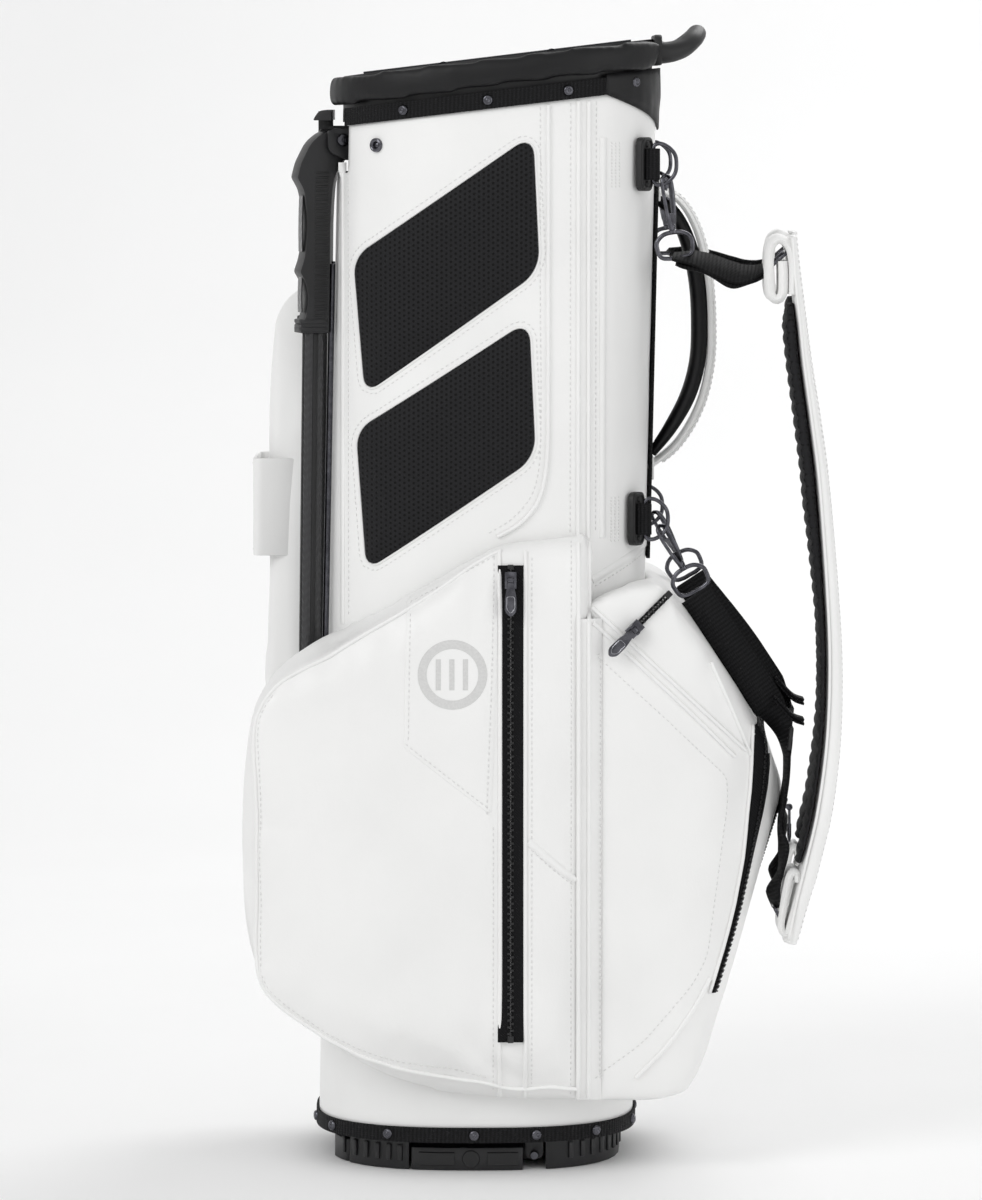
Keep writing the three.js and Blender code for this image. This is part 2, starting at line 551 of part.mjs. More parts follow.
const [LOWER, UPPER] = RING_Z;
[["lower", LOWER], ["upper", UPPER]].forEach(([level, z]) => {
  addPair(`${level}_ring_tab`, ringTab(z), BLACK_PLASTIC);
  addPair(`${level}_ring`, dRing(z), GUNMETAL);
});
const STRAP_Y = RING_AXIS.y - 0.6;
const HOOK_LENGTH = 38;
const upperHook = { x: ringBar(UPPER)[0] + 10, z: UPPER - 14.5 };
const lowerHook = { x: ringBar(LOWER)[0] + 14, z: LOWER - 10.5 };
addPair("upper_hook", snapHook(HOOK_LENGTH).applyMatrix4(hookTurn(-8)).translate(upperHook.x, STRAP_Y, upperHook.z), GUNMETAL);
addPair("lower_hook", snapHook(HOOK_LENGTH - 6).applyMatrix4(hookTurn(-30)).translate(lowerHook.x, STRAP_Y, lowerHook.z), GUNMETAL);

const webbingY = [STRAP_Y - WEBBING_WIDTH / 2, STRAP_Y + WEBBING_WIDTH / 2];
addPair(
  "upper_webbing",
  strip([[166, 713], [184, 713], [206, 703], [226, 705], [236, 709]], 3, ...webbingY),
  BLACK_WEBBING,
);
addPair(
  "lower_webbing",
  strip([[187, 445], [206, 416], [232, 376], [249, 344], [251, 300], [247, 262], [249, 226], [245, 202]], 3, ...webbingY),
  BLACK_WEBBING,
);
const strapY = [STRAP_Y - STRAP_WIDTH / 2, STRAP_Y + STRAP_WIDTH / 2];
addPair(
  "strap_pad",
  strip([[244, 726], [258, 640], [273, 540], [282, 440], [281, 340], [268, 250], [252, 180]], 17, ...strapY),
  WHITE_LEATHER,
);

export default bag;
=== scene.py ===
"""Golf stand bag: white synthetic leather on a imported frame, with padded cuff, hip pads, zips, straps and legs."""

import json
import math
import sys

import bmesh
import bpy
from bpy.props import FloatProperty, FloatVectorProperty, IntProperty, PointerProperty
from mathutils import Matrix, Vector
from mathutils import noise as mathnoise
from mathutils.bvhtree import BVHTree
from mathutils.geometry import interpolate_bezier
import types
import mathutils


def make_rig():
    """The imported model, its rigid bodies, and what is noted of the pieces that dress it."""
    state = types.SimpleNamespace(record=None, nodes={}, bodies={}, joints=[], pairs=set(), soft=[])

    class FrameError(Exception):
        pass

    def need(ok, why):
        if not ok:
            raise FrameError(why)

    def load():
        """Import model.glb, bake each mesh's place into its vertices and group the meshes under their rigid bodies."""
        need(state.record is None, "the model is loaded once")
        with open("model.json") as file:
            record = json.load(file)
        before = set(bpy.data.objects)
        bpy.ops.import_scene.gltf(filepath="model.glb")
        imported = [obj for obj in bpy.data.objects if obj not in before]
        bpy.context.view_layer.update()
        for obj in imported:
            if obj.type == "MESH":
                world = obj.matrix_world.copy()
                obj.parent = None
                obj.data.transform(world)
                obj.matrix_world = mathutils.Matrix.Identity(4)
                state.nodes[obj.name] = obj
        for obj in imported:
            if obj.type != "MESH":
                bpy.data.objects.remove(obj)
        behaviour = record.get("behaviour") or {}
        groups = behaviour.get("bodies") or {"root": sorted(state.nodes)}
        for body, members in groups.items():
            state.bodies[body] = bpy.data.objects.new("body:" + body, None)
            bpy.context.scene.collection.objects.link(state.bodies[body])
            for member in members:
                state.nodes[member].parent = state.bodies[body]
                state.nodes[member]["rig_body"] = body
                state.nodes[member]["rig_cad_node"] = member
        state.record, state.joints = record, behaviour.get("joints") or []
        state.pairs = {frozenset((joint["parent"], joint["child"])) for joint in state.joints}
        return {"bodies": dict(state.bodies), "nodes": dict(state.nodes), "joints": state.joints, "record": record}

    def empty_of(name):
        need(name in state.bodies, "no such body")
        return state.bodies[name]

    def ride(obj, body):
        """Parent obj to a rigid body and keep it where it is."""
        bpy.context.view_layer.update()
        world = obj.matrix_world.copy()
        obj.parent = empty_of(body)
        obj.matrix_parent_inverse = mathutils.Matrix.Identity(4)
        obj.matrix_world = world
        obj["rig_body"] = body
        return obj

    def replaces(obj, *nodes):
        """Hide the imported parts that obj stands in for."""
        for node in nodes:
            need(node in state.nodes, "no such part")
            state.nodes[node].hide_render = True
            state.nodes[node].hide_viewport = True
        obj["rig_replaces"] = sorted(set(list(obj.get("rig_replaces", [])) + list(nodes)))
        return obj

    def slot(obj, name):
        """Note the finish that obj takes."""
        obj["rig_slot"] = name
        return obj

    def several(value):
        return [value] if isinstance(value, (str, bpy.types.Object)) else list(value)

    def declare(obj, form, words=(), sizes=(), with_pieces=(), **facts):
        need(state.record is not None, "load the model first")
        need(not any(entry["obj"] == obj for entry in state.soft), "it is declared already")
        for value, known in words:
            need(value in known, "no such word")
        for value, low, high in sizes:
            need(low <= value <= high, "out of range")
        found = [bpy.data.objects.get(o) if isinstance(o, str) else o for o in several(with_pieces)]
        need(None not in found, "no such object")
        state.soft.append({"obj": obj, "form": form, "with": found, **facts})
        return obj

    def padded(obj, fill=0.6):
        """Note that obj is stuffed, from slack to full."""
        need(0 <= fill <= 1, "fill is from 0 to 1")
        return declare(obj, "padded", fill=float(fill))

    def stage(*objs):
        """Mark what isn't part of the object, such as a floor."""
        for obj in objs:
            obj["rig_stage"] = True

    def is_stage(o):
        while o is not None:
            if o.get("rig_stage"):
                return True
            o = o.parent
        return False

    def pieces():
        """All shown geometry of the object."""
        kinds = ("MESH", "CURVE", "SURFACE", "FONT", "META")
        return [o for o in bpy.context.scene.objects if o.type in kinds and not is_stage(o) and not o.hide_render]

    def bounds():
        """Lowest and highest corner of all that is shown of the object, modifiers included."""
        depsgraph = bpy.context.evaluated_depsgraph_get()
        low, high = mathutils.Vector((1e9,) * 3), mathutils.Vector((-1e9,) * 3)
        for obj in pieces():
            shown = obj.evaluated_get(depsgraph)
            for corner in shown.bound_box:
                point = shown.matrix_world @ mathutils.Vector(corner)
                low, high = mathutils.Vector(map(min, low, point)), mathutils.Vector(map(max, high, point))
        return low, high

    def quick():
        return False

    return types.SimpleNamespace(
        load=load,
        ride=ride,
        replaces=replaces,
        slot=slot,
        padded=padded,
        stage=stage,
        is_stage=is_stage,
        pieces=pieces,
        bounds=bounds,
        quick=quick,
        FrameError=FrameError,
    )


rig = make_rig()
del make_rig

bl_info = {
    "name": "Golf Stand Bag",
    "version": (1, 0, 0),
    "blender": (4, 5, 0),
    "location": "3D View > Sidebar > Golf Bag",
    "description": "Builds the looks of a golf stand bag around its packed frame",
    "category": "Object",
}

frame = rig.load()
CAD_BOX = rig.bounds()
MM = 0.001
TUBE_HALF_X = 126.0  # the body tube's half sizes and roundness, in millimetres, as the frame has them
TUBE_HALF_Y = 112.0
TUBE_POWER = 2.6
LEAN = 18 / 850
TOP_Z = 838.0
TOP_TILT = 0.12
SIDES = (("near", 1), ("far", -1))
FABRIC_Z = 30.0  # where the leather tube starts, above the base
NOTCH = {"z": 784.0, "half": 60.0}  # the tube is cut away here for the leg bracket
ROD_SLOT = {"inner": 24.0, "outer": 48.0, "low": 140.0, "high": 312.0}  # and here for the push rods
LEG_SIDE_X = -60.0
ZIP_X = 28.0  # the side pockets' zips stand on this line
HEM = (24.0, 36.0)


def linear(hex_value):
    """An sRGB hex colour as a linear RGBA value."""
    channels = [int(hex_value[i:i + 2], 16) / 255 for i in (1, 3, 5)]
    return (*[c / 12.92 if c <= 0.04045 else ((c + 0.055) / 1.055) ** 2.4 for c in channels], 1.0)


# ---------------------------------------------------------------- sizes and colours a user would change
class LeatherSettings(bpy.types.PropertyGroup):
    """The white synthetic leather and what is sewn on it."""

    colour: FloatVectorProperty(
        name="Leather colour", description="Colour of the coated leather", subtype="COLOR",
        size=3, min=0, max=1, default=linear("#f4f4f3")[:3],
    )
    piping_radius: FloatProperty(
        name="Piping radius", description="Radius of the piping in the seams", subtype="DISTANCE",
        default=0.0017, min=0.0005, max=0.005,
    )
    crease_depth: FloatProperty(
        name="Crease depth", description="How far the leather's soft dents go in", subtype="DISTANCE",
        default=0.0012, min=0, max=0.006,
    )
    stitch_length: FloatProperty(
        name="Stitch length", description="Length of one stitch", subtype="DISTANCE",
        default=0.0030, min=0.001, max=0.01,
    )


class PaddingSettings(bpy.types.PropertyGroup):
    """The padded pieces."""

    pressure: FloatProperty(
        name="Stuffing pressure", description="Pressure that fills the padded pieces", default=4.0, min=0, max=20,
    )
    cuff_swell: FloatProperty(
        name="Cuff swell", description="The most that the cuff roll swells", subtype="DISTANCE",
        default=0.005, min=0, max=0.02,
    )
    mesh_pitch: FloatProperty(
        name="Air mesh pitch", description="Distance between the cells of the air mesh", subtype="DISTANCE",
        default=0.0042, min=0.001, max=0.02,
    )


class HardwareSettings(bpy.types.PropertyGroup):
    """Zips, rivets and hooks."""

    tooth_pitch: FloatProperty(
        name="Zip tooth pitch", description="Distance from one zip tooth to the next", subtype="DISTANCE",
        default=0.0026, min=0.001, max=0.01,
    )
    rivet_radius: FloatProperty(
        name="Rivet radius", description="Radius of a rivet's head", subtype="DISTANCE",
        default=0.0042, min=0.001, max=0.01,
    )
    hardware_sides: IntProperty(
        name="Hardware sides", description="Sides of the round bars in rings and hooks", default=14, min=6, max=48,
    )


# ---------------------------------------------------------------- paths and surfaces
def tube_y(x, z, offset=0.0):
    """How far the body tube's wall stands from the middle plane at (x, z)."""
    share = min(1.0, abs(x - LEAN * z) / (TUBE_HALF_X + offset))
    return (TUBE_HALF_Y + offset) * (1 - share**TUBE_POWER) ** (1 / TUBE_POWER)


def mouth_z(x, rise=0.0):
    """Height of the tilted mouth at x, above the fabric's edge by rise."""
    return TOP_Z + rise + TOP_TILT * (x - LEAN * TOP_Z)


def plan_point(turn, z, offset=0.0):
    """A point on the body tube's outline at an angle in radians."""
    def power(v):
        return math.copysign(abs(v) ** (2 / TUBE_POWER), v)
    return Vector((
        (TUBE_HALF_X + offset) * power(math.cos(turn)) + LEAN * z,
        (TUBE_HALF_Y + offset) * power(math.sin(turn)),
        z,
    ))


def even_turns(count, start=0.0, end=2 * math.pi, offset=0.0):
    """Angles that space count points evenly along the tube's outline."""
    fine = [start + (end - start) * i / 720 for i in range(721)]
    spots = [plan_point(a, 0, offset) for a in fine]
    run = [0.0]
    for a, b in zip(spots, spots[1:]):
        run.append(run[-1] + (b - a).length)
    closed = abs(end - start) > 2 * math.pi - 1e-6
    turns, k = [], 0
    for i in range(count):
        wanted = run[-1] * i / (count if closed else count - 1)
        while k < 719 and run[k + 1] < wanted:
            k += 1
        share = (wanted - run[k]) / max(1e-9, run[k + 1] - run[k])
        turns.append(fine[k] + share * (fine[k + 1] - fine[k]))
    return turns


def smooth_path(points, spacing, closed=False):
    """Points spaced evenly along a smooth curve through points."""
    pts = [Vector(p) for p in points]
    count = len(pts)
    dense = []
    for i in range(count if closed else count - 1):
        p0 = pts[(i - 1) % count] if closed or i > 0 else pts[0] * 2 - pts[1]
        p1, p2 = pts[i], pts[(i + 1) % count]
        p3 = pts[(i + 2) % count] if closed or i + 2 < count else pts[-1] * 2 - pts[-2]
        reach = (p2 - p1).length / 3
        t1 = (p2 - p0).normalized() * reach
        t2 = (p3 - p1).normalized() * reach
        dense += interpolate_bezier(p1, p1 + t1, p2 - t2, p2, 25)[:-1]
    dense.append(pts[0].copy() if closed else pts[-1].copy())
    return respaced(dense, spacing, closed)


def respaced(points, spacing, closed=False):
    """The same line with its points spaced evenly."""
    run = [0.0]
    for a, b in zip(points, points[1:]):
        run.append(run[-1] + (b - a).length)
    steps = max(2, round(run[-1] / spacing))
    out, k = [], 0
    for i in range(steps if closed else steps + 1):
        wanted = run[-1] * i / steps
        while k < len(points) - 2 and run[k + 1] < wanted:
            k += 1
        share = (wanted - run[k]) / max(1e-9, run[k + 1] - run[k])
        out.append(points[k].lerp(points[k + 1], min(1, share)))
    return out


def rounded(corners, spacing=4.0):
    """Evenly spaced points round a closed outline of corners (a, b, radius)."""
    line = []
    for i, (a, b, radius) in enumerate(corners):
        here = Vector((a, b, 0))
        before = Vector((*corners[i - 1][:2], 0)) - here
        after = Vector((*corners[(i + 1) % len(corners)][:2], 0)) - here
        radius = min(radius, 0.45 * before.length, 0.45 * after.length)
        start, end = here + before.normalized() * radius, here + after.normalized() * radius
        if radius > 0:
            line += interpolate_bezier(start, start.lerp(here, 0.6), end.lerp(here, 0.6), end, 12)
        else:
            line.append(here)
    line.append(line[0].copy())
    return [Vector((p.x, p.y)) for p in respaced(line, spacing, closed=True)]


def tangents(path, closed=False):
    """Unit directions along a path."""
    last = len(path) - 1
    return [
        (path[(i + 1) % len(path)] - path[i - 1] if closed or 0 < i < last
         else path[min(i + 1, last)] - path[max(i - 1, 0)]).normalized()
        for i in range(len(path))
    ]


# ---------------------------------------------------------------- mesh tools
BAG = {}  # what the operators hand on to each other: materials, and the skin that trims are laid on
SLOTS = {  # the record's slot that each finish belongs to
    "leather": "white_leather", "white_thread": "white_leather", "print": "white_leather",
    "hip_mesh": "black_mesh", "strap_mesh": "black_mesh", "cuff": "black_padding", "tri_cloth": "black_padding",
    "plastic": "black_plastic", "dark_plastic": "black_plastic", "carbon": "carbon_look", "rubber": "rubber",
    "webbing": "black_webbing", "zip_tape": "black_webbing", "tooth": "black_webbing",
    "gunmetal": "gunmetal", "bright": "gunmetal",
}


def finished(name, bm, finish, body, smooth=35.0, replaces=()):
    """Turns a bmesh in millimetres into a piece that rides on a body; finish names its material, or a row of them."""
    finishes = [finish] if isinstance(finish, str) else finish
    bmesh.ops.scale(bm, vec=(MM,) * 3, verts=bm.verts)
    mesh = bpy.data.meshes.new(name)
    bm.to_mesh(mesh)
    bm.free()
    for key in finishes:
        mesh.materials.append(BAG["materials"][key])
    piece = bpy.data.objects.new(name, mesh)
    bpy.context.scene.collection.objects.link(piece)
    mesh.set_sharp_from_angle(angle=math.radians(smooth))
    mesh.shade_smooth() if smooth >= 180 else mesh.polygons.foreach_set("use_smooth", [True] * len(mesh.polygons))
    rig.ride(piece, body)
    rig.slot(piece, SLOTS[finishes[0]])
    if replaces:
        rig.replaces(piece, *replaces)
    return piece


def applied(piece):
    """The piece's mesh with its modifiers applied."""
    graph = bpy.context.evaluated_depsgraph_get()
    made = bpy.data.meshes.new_from_object(piece.evaluated_get(graph))
    piece.modifiers.clear()
    old, piece.data = piece.data, made
    bpy.data.meshes.remove(old)
    return piece


def merged_copy(node):
    """A bmesh of a CAD node in millimetres, with its loose triangles joined."""
    bm = bmesh.new()
    bm.from_mesh(frame["nodes"][node].data)
    bmesh.ops.scale(bm, vec=(1 / MM,) * 3, verts=bm.verts)
    bmesh.ops.remove_doubles(bm, verts=bm.verts, dist=0.002)
    bmesh.ops.dissolve_limit(bm, angle_limit=math.radians(1.0), verts=bm.verts, edges=bm.edges)
    return bm


def repaint(finish, *nodes):
    """Gives carried-over CAD nodes another material."""
    for node_name in nodes:
        slots = frame["nodes"][node_name].data.materials
        slots.clear()
        slots.append(BAG["materials"][finish])


def merge_into(bm, other):
    """Adds a second bmesh to the first."""
    holder = bpy.data.meshes.new("holder")
    other.to_mesh(holder)
    other.free()
    bm.from_mesh(holder)
    bpy.data.meshes.remove(holder)
    return bm


def measure(verts, run, run_layer, turn_layer):
    """Stores each vertex's distance along its piece and round its section, which woven finishes follow."""
    turn = 0.0
    for i, v in enumerate(verts):
        turn += (v.co - verts[i - 1].co).length if i else 0.0
        v[run_layer], v[turn_layer] = run, turn


def loft(stations, closed=True, cap=True, loop=False, material=0):
    """A skin through stations, each a list of the same number of points; the first outline is extruded to the next."""
    bm = bmesh.new()
    run_layer, turn_layer = bm.verts.layers.float.new("run"), bm.verts.layers.float.new("turn")
    verts = [bm.verts.new(p) for p in stations[0]]
    count = len(verts)
    run, centre = 0.0, sum((Vector(p) for p in stations[0]), Vector()) / count
    measure(verts, run, run_layer, turn_layer)
    edges = [bm.edges.new((verts[i], verts[(i + 1) % count])) for i in range(count if closed else count - 1)]
    first = list(verts)
    for station in stations[1:]:
        made = bmesh.ops.extrude_edge_only(bm, edges=edges)["geom"]
        fresh = {g for g in made if isinstance(g, bmesh.types.BMVert)}
        edges = [g for g in made if isinstance(g, bmesh.types.BMEdge) and all(v in fresh for v in g.verts)]
        following = []
        for v in verts:
            following.append(next(e.other_vert(v) for e in v.link_edges if e.other_vert(v) in fresh))
        for v, p in zip(following, station):
            v.co = p
        verts = following
        moved = sum((Vector(p) for p in station), Vector()) / count
        run, centre = run + (moved - centre).length, moved
        measure(verts, run, run_layer, turn_layer)
    if loop:
        ends = [e for e in bm.edges if e.is_boundary]
        bmesh.ops.bridge_loops(bm, edges=ends)
    elif closed and cap:
        bm.faces.new(list(reversed(first)))
        bm.faces.new(verts)
    for face in bm.faces:
        face.material_index = material
    bmesh.ops.recalc_face_normals(bm, faces=bm.faces)
    return bm


def bar(path, radius, sides=12, closed=False, up=Vector((0, 0, 1)), flat=1.0):
    """A round bar along a path; flat squeezes its section, and radius may be a function of the share of the way."""
    ways = tangents(path, closed)
    side = ways[0].cross(up)
    if side.length < 1e-3:
        side = ways[0].cross(Vector((1, 0, 0)))
    side.normalize()
    stations = []
    for i, (p, way) in enumerate(zip(path, ways)):
        side = (side - way * side.dot(way)).normalized()
        top = side.cross(way)
        size = radius(i / max(1, len(path) - 1)) if callable(radius) else radius
        stations.append([
            p + size * (math.cos(a) * side + flat * math.sin(a) * top)
            for a in (2 * math.pi * k / sides for k in range(sides))
        ])
    return loft(stations, loop=closed)


def strap(path, across, thick, round_edge=0.35):
    """A flat strap along a path; across is the half-width vector, or one for each point."""
    ways = tangents(path)
    stations = []
    for i, (p, way) in enumerate(zip(path, ways)):
        half = across[i] if isinstance(across, list) else across
        normal = half.cross(way).normalized() * (thick / 2)
        e = 1 - round_edge * thick / max(1e-6, half.length)
        stations.append([
            p - half, p - half * e + normal, p + half * e + normal, p + half, p + half * e - normal,
            p - half * e - normal,
        ])
    return loft(stations)


def prism(outline, depth_axis, low, high):
    """An outline of 2-D points carried along an axis from low to high."""
    place = {
        "x": lambda p, d: Vector((d, p.x, p.y)), "y": lambda p, d: Vector((p.x, d, p.y)),
        "z": lambda p, d: Vector((p.x, p.y, d)),
    }[depth_axis]
    return loft([[place(p, low) for p in outline], [place(p, high) for p in outline]])


def block(x0, x1, y0, y1, z0, z1, edge=0.0, segments=2):
    """A box between two corners with eased edges."""
    bm = bmesh.new()
    bmesh.ops.create_cube(bm, size=1)
    bmesh.ops.scale(bm, vec=(x1 - x0, y1 - y0, z1 - z0), verts=bm.verts)
    bmesh.ops.translate(bm, vec=((x0 + x1) / 2, (y0 + y1) / 2, (z0 + z1) / 2), verts=bm.verts)
    return eased(bm, edge, segments)


def eased(bm, edge, segments=2, angle=30.0):
    """Rounds the sharp edges of a bmesh."""
    if edge > 0:
        sharp = [e for e in bm.edges if e.is_manifold and e.calc_face_angle(0) > math.radians(angle)]
        bmesh.ops.bevel(
            bm, geom=sharp, offset=edge, segments=segments, affect="EDGES", profile=0.5, material=-1,
            clamp_overlap=True,
        )
    return bm


def softened(node_name, edge, segments=2, angle=40):
    """A merged copy of a CAD node with its sharp edges rounded."""
    return eased(merged_copy(node_name), edge, segments, angle)


def turned(profile, steps=24):
    """A round piece about Z from its profile of (radius, z) points."""
    bm = bmesh.new()
    verts = [bm.verts.new((r, 0, z)) for r, z in profile]
    edges = [bm.edges.new(pair) for pair in zip(verts, verts[1:])]
    bmesh.ops.spin(
        bm, geom=verts + edges, cent=(0, 0, 0), axis=(0, 0, 1), angle=2 * math.pi, steps=steps, use_merge=True,
    )
    bmesh.ops.remove_doubles(bm, verts=bm.verts, dist=1e-4)
    bmesh.ops.recalc_face_normals(bm, faces=bm.faces)
    return bm


def placed(bm, at, out=Vector((0, 0, 1)), up=None):
    """Turns a bmesh so that its Z looks along out, and moves it to a point."""
    out = Vector(out).normalized()
    if up is None:
        turn = out.to_track_quat("Z", "Y").to_matrix().to_4x4()
    else:
        y = (Vector(up) - out * out.dot(Vector(up))).normalized()
        turn = Matrix((y.cross(out), y, out)).transposed().to_4x4()
    bmesh.ops.transform(bm, matrix=Matrix.Translation(at) @ turn, verts=bm.verts)
    return bm


def mirrored(bm):
    """The same piece on the other side of the bag's middle plane."""
    bmesh.ops.scale(bm, vec=(1, -1, 1), verts=bm.verts)
    bmesh.ops.reverse_faces(bm, faces=bm.faces)
    return bm


def on_side(bm, sign):
    """The same piece, carried to the far side where sign is below zero."""
    return mirrored(bm) if sign < 0 else bm


class Skin:
    """The outer surface of pieces already made, for what is sewn or laid on them."""

    def __init__(self, *pieces):
        bm = bmesh.new()
        for piece in pieces:
            bm.from_mesh(piece.data)
        bmesh.ops.scale(bm, vec=(1 / MM,) * 3, verts=bm.verts)
        self.tree = BVHTree.FromBMesh(bm)
        bm.free()

    def near(self, x, z, lift=0.0):
        """The point on the -Y side at (x, z), and the way out of the surface there."""
        spot, normal, _, _ = self.tree.ray_cast(Vector((x, -400, z)), Vector((0, 1, 0)))
        if spot is None:
            spot, normal = Vector((x, -tube_y(x, z), z)), Vector((0, -1, 0))
        if normal.y > 0:
            normal = -normal
        return spot + normal * lift, normal

    def towards(self, start, way, lift=0.0):
        """Where a ray meets the surface, and the way out of it there."""
        spot, normal, _, _ = self.tree.ray_cast(Vector(start), Vector(way).normalized())
        if spot is None:
            raise RuntimeError(f"nothing lies from {start} along {way}")
        if normal.dot(Vector(way)) > 0:
            normal = -normal
        return spot + normal * lift, normal

    def line(self, corners, spacing=4.0, lift=0.0, smooth=True, closed=False):
        """Points on the -Y side along a line of (x, z) points, and the ways out of the surface."""
        flat = [Vector((x, 0, z)) for x, z in corners]
        line = smooth_path(flat, spacing, closed) if smooth else respaced(flat + flat[:1] * closed, spacing, closed)
        found = [self.near(p.x, p.z, lift) for p in line]
        return [p for p, _ in found], [n for _, n in found]


def stitches(path, normals, length, gap=1.6, radius=0.42, sink=0.15, lean=0.0):
    """A row of stitches on a surface, as one bmesh."""
    bm = bmesh.new()
    run, spots = 0.0, []
    marks = [0.0]
    for a, b in zip(path, path[1:]):
        marks.append(marks[-1] + (b - a).length)
    k = 0
    while run + length < marks[-1]:
        while k < len(path) - 2 and marks[k + 1] < run:
            k += 1
        share = (run - marks[k]) / max(1e-9, marks[k + 1] - marks[k])
        spots.append((path[k].lerp(path[k + 1], share), (path[k + 1] - path[k]).normalized(), normals[k]))
        run += length + gap
    for spot, way, out in spots:
        side = out.cross(way).normalized()
        along = (way + side * lean).normalized()
        out = along.cross(side).normalized() * (1 if along.cross(side).dot(out) > 0 else -1)
        made = bmesh.ops.create_icosphere(bm, subdivisions=1, radius=1)["verts"]
        turn = Matrix((along * (length / 2), along.cross(out) * radius, out * radius)).transposed().to_4x4()
        centre = spot + along * (length / 2) + out * sink
        bmesh.ops.transform(bm, matrix=Matrix.Translation(centre) @ turn, verts=made)
    bmesh.ops.recalc_face_normals(bm, faces=bm.faces)
    return bm


# ---------------------------------------------------------------- materials
def node(tree, kind, inputs=None, **settings):
    """Adds a shader node with its settings; inputs are values, or other nodes' sockets to link."""
    made = tree.nodes.new(kind)
    for key, value in settings.items():
        setattr(made, key, value)
    for key, value in (inputs or {}).items():
        if isinstance(value, bpy.types.NodeSocket):
            tree.links.new(value, made.inputs[key])
        else:
            made.inputs[key].default_value = value
    return made


def ramp(tree, factor, stops):
    """A colour ramp through stops of (place, colour), each colour hex or already linear RGBA."""
    made = node(tree, "ShaderNodeValToRGB", {"Fac": factor})
    points = made.color_ramp.elements
    for i, (place, colour) in enumerate(stops):
        point = points[i] if i < 2 else points.new(place)
        point.position, point.color = place, linear(colour) if isinstance(colour, str) else colour
    return made.outputs["Color"]


def surface(name, fixed, build):
    """A Principled material; build(tree) gives the sockets that vary, and fixed the values that don't."""
    made = bpy.data.materials.new(name)
    made.use_nodes = True
    tree = made.node_tree
    tree.nodes.clear()
    shader = node(tree, "ShaderNodeBsdfPrincipled", {**fixed, **build(tree)})
    node(tree, "ShaderNodeOutputMaterial", {"Surface": shader.outputs["BSDF"]})
    return made


def place_mm(tree, scale=(1, 1, 1), turn=(0, 0, 0)):
    """Object coordinates in millimetres times scale."""
    where = node(tree, "ShaderNodeTexCoord")
    return node(tree, "ShaderNodeMapping", {
        "Vector": where.outputs["Object"], "Scale": [s * 1000 for s in scale], "Rotation": turn,
    }).outputs["Vector"]


def noise(tree, size_mm, detail=3.0, rough=0.5, stretch=(1, 1, 1)):
    """Noise whose features are about size_mm across."""
    return node(tree, "ShaderNodeTexNoise", {
        "Vector": place_mm(tree, [s / size_mm for s in stretch]), "Scale": 1.0, "Detail": detail, "Roughness": rough,
    }).outputs["Fac"]


def math_node(tree, operation, a, b=0.0, clamp=False):
    """One step of arithmetic on sockets or values."""
    return node(tree, "ShaderNodeMath", {0: a, 1: b}, operation=operation, use_clamp=clamp).outputs[0]


def bump(tree, height, depth_mm, strength=1.0, under=None):
    """A bump whose full height is depth_mm."""
    inputs = {"Height": height, "Strength": strength, "Distance": depth_mm * MM}
    if under is not None:
        inputs["Normal"] = under
    return node(tree, "ShaderNodeBump", inputs).outputs["Normal"]


def spread(tree, value, low, high):
    """A 0 to 1 value carried to the range from low to high."""
    return node(tree, "ShaderNodeMapRange", {"Value": value, "To Min": low, "To Max": high}).outputs["Result"]


def coated_leather(name, base, shade):
    """Calendered polyurethane leather: a satin skin with a fine pebble and slow dents that catch long highlights."""
    def build(tree):
        pebble = node(
            tree, "ShaderNodeTexVoronoi", {"Vector": place_mm(tree, (0.62,) * 3), "Scale": 1.0},
        ).outputs["Distance"]
        dents = noise(tree, 46, 2.0, 0.45, (1, 1, 0.55))
        folds = noise(tree, 13, 3.0, 0.55, (1, 1, 0.35))
        soft = bump(tree, dents, 1.3)
        soft = bump(tree, folds, 0.18, under=soft)
        # The real pebble is about 0.5 mm; it is drawn at 1.6 mm so that it shows at all.
        soft = bump(tree, pebble, 0.035, under=soft)
        return {
            "Base Color": ramp(tree, noise(tree, 90, 2.0), [(0.3, shade), (0.7, base)]),
            "Roughness": spread(tree, folds, 0.36, 0.52), "Normal": soft,
        }
    return surface(name, {"IOR": 1.5, "Coat Weight": 0.08, "Coat Roughness": 0.35}, build)


def dots(tree, across, up, pitch_mm):
    """A hexagonal field of dots on the plane of two unit directions, from three crossed waves."""
    where = place_mm(tree)
    total = None
    for degrees in (0, 60, 120):
        a = math.radians(degrees)
        way = Vector(across) * math.cos(a) + Vector(up) * math.sin(a)
        run = node(
            tree, "ShaderNodeVectorMath", {0: where, 1: way * (2 * math.pi / (pitch_mm * 0.866))},
            operation="DOT_PRODUCT",
        )
        wave = math_node(tree, "COSINE", run.outputs["Value"])
        total = wave if total is None else math_node(tree, "ADD", total, wave)
    return spread(tree, math_node(tree, "MULTIPLY", total, 1 / 3), 0.33, 1.0)


def air_mesh(name, across, up, pitch_mm):
    """Warp-knitted polyester spacer mesh: small open cells in a hexagonal net over foam, the cells painted darker as
    shade in the holes.
    """
    def build(tree):
        cells = dots(tree, across, up, pitch_mm)
        yarn = noise(tree, 0.9, 2.0)
        net = bump(tree, cells, -0.9)
        return {
            # The open cells are painted near black and the net lighter: painted shade in the holes.
            "Base Color": ramp(tree, cells, [(0.42, "#1c1c1e"), (0.75, "#030303")]),
            "Roughness": spread(tree, yarn, 0.55, 0.85), "Normal": bump(tree, yarn, 0.06, under=net),
        }
    return surface(name, {"IOR": 1.46, "Specular IOR Level": 0.25}, build)


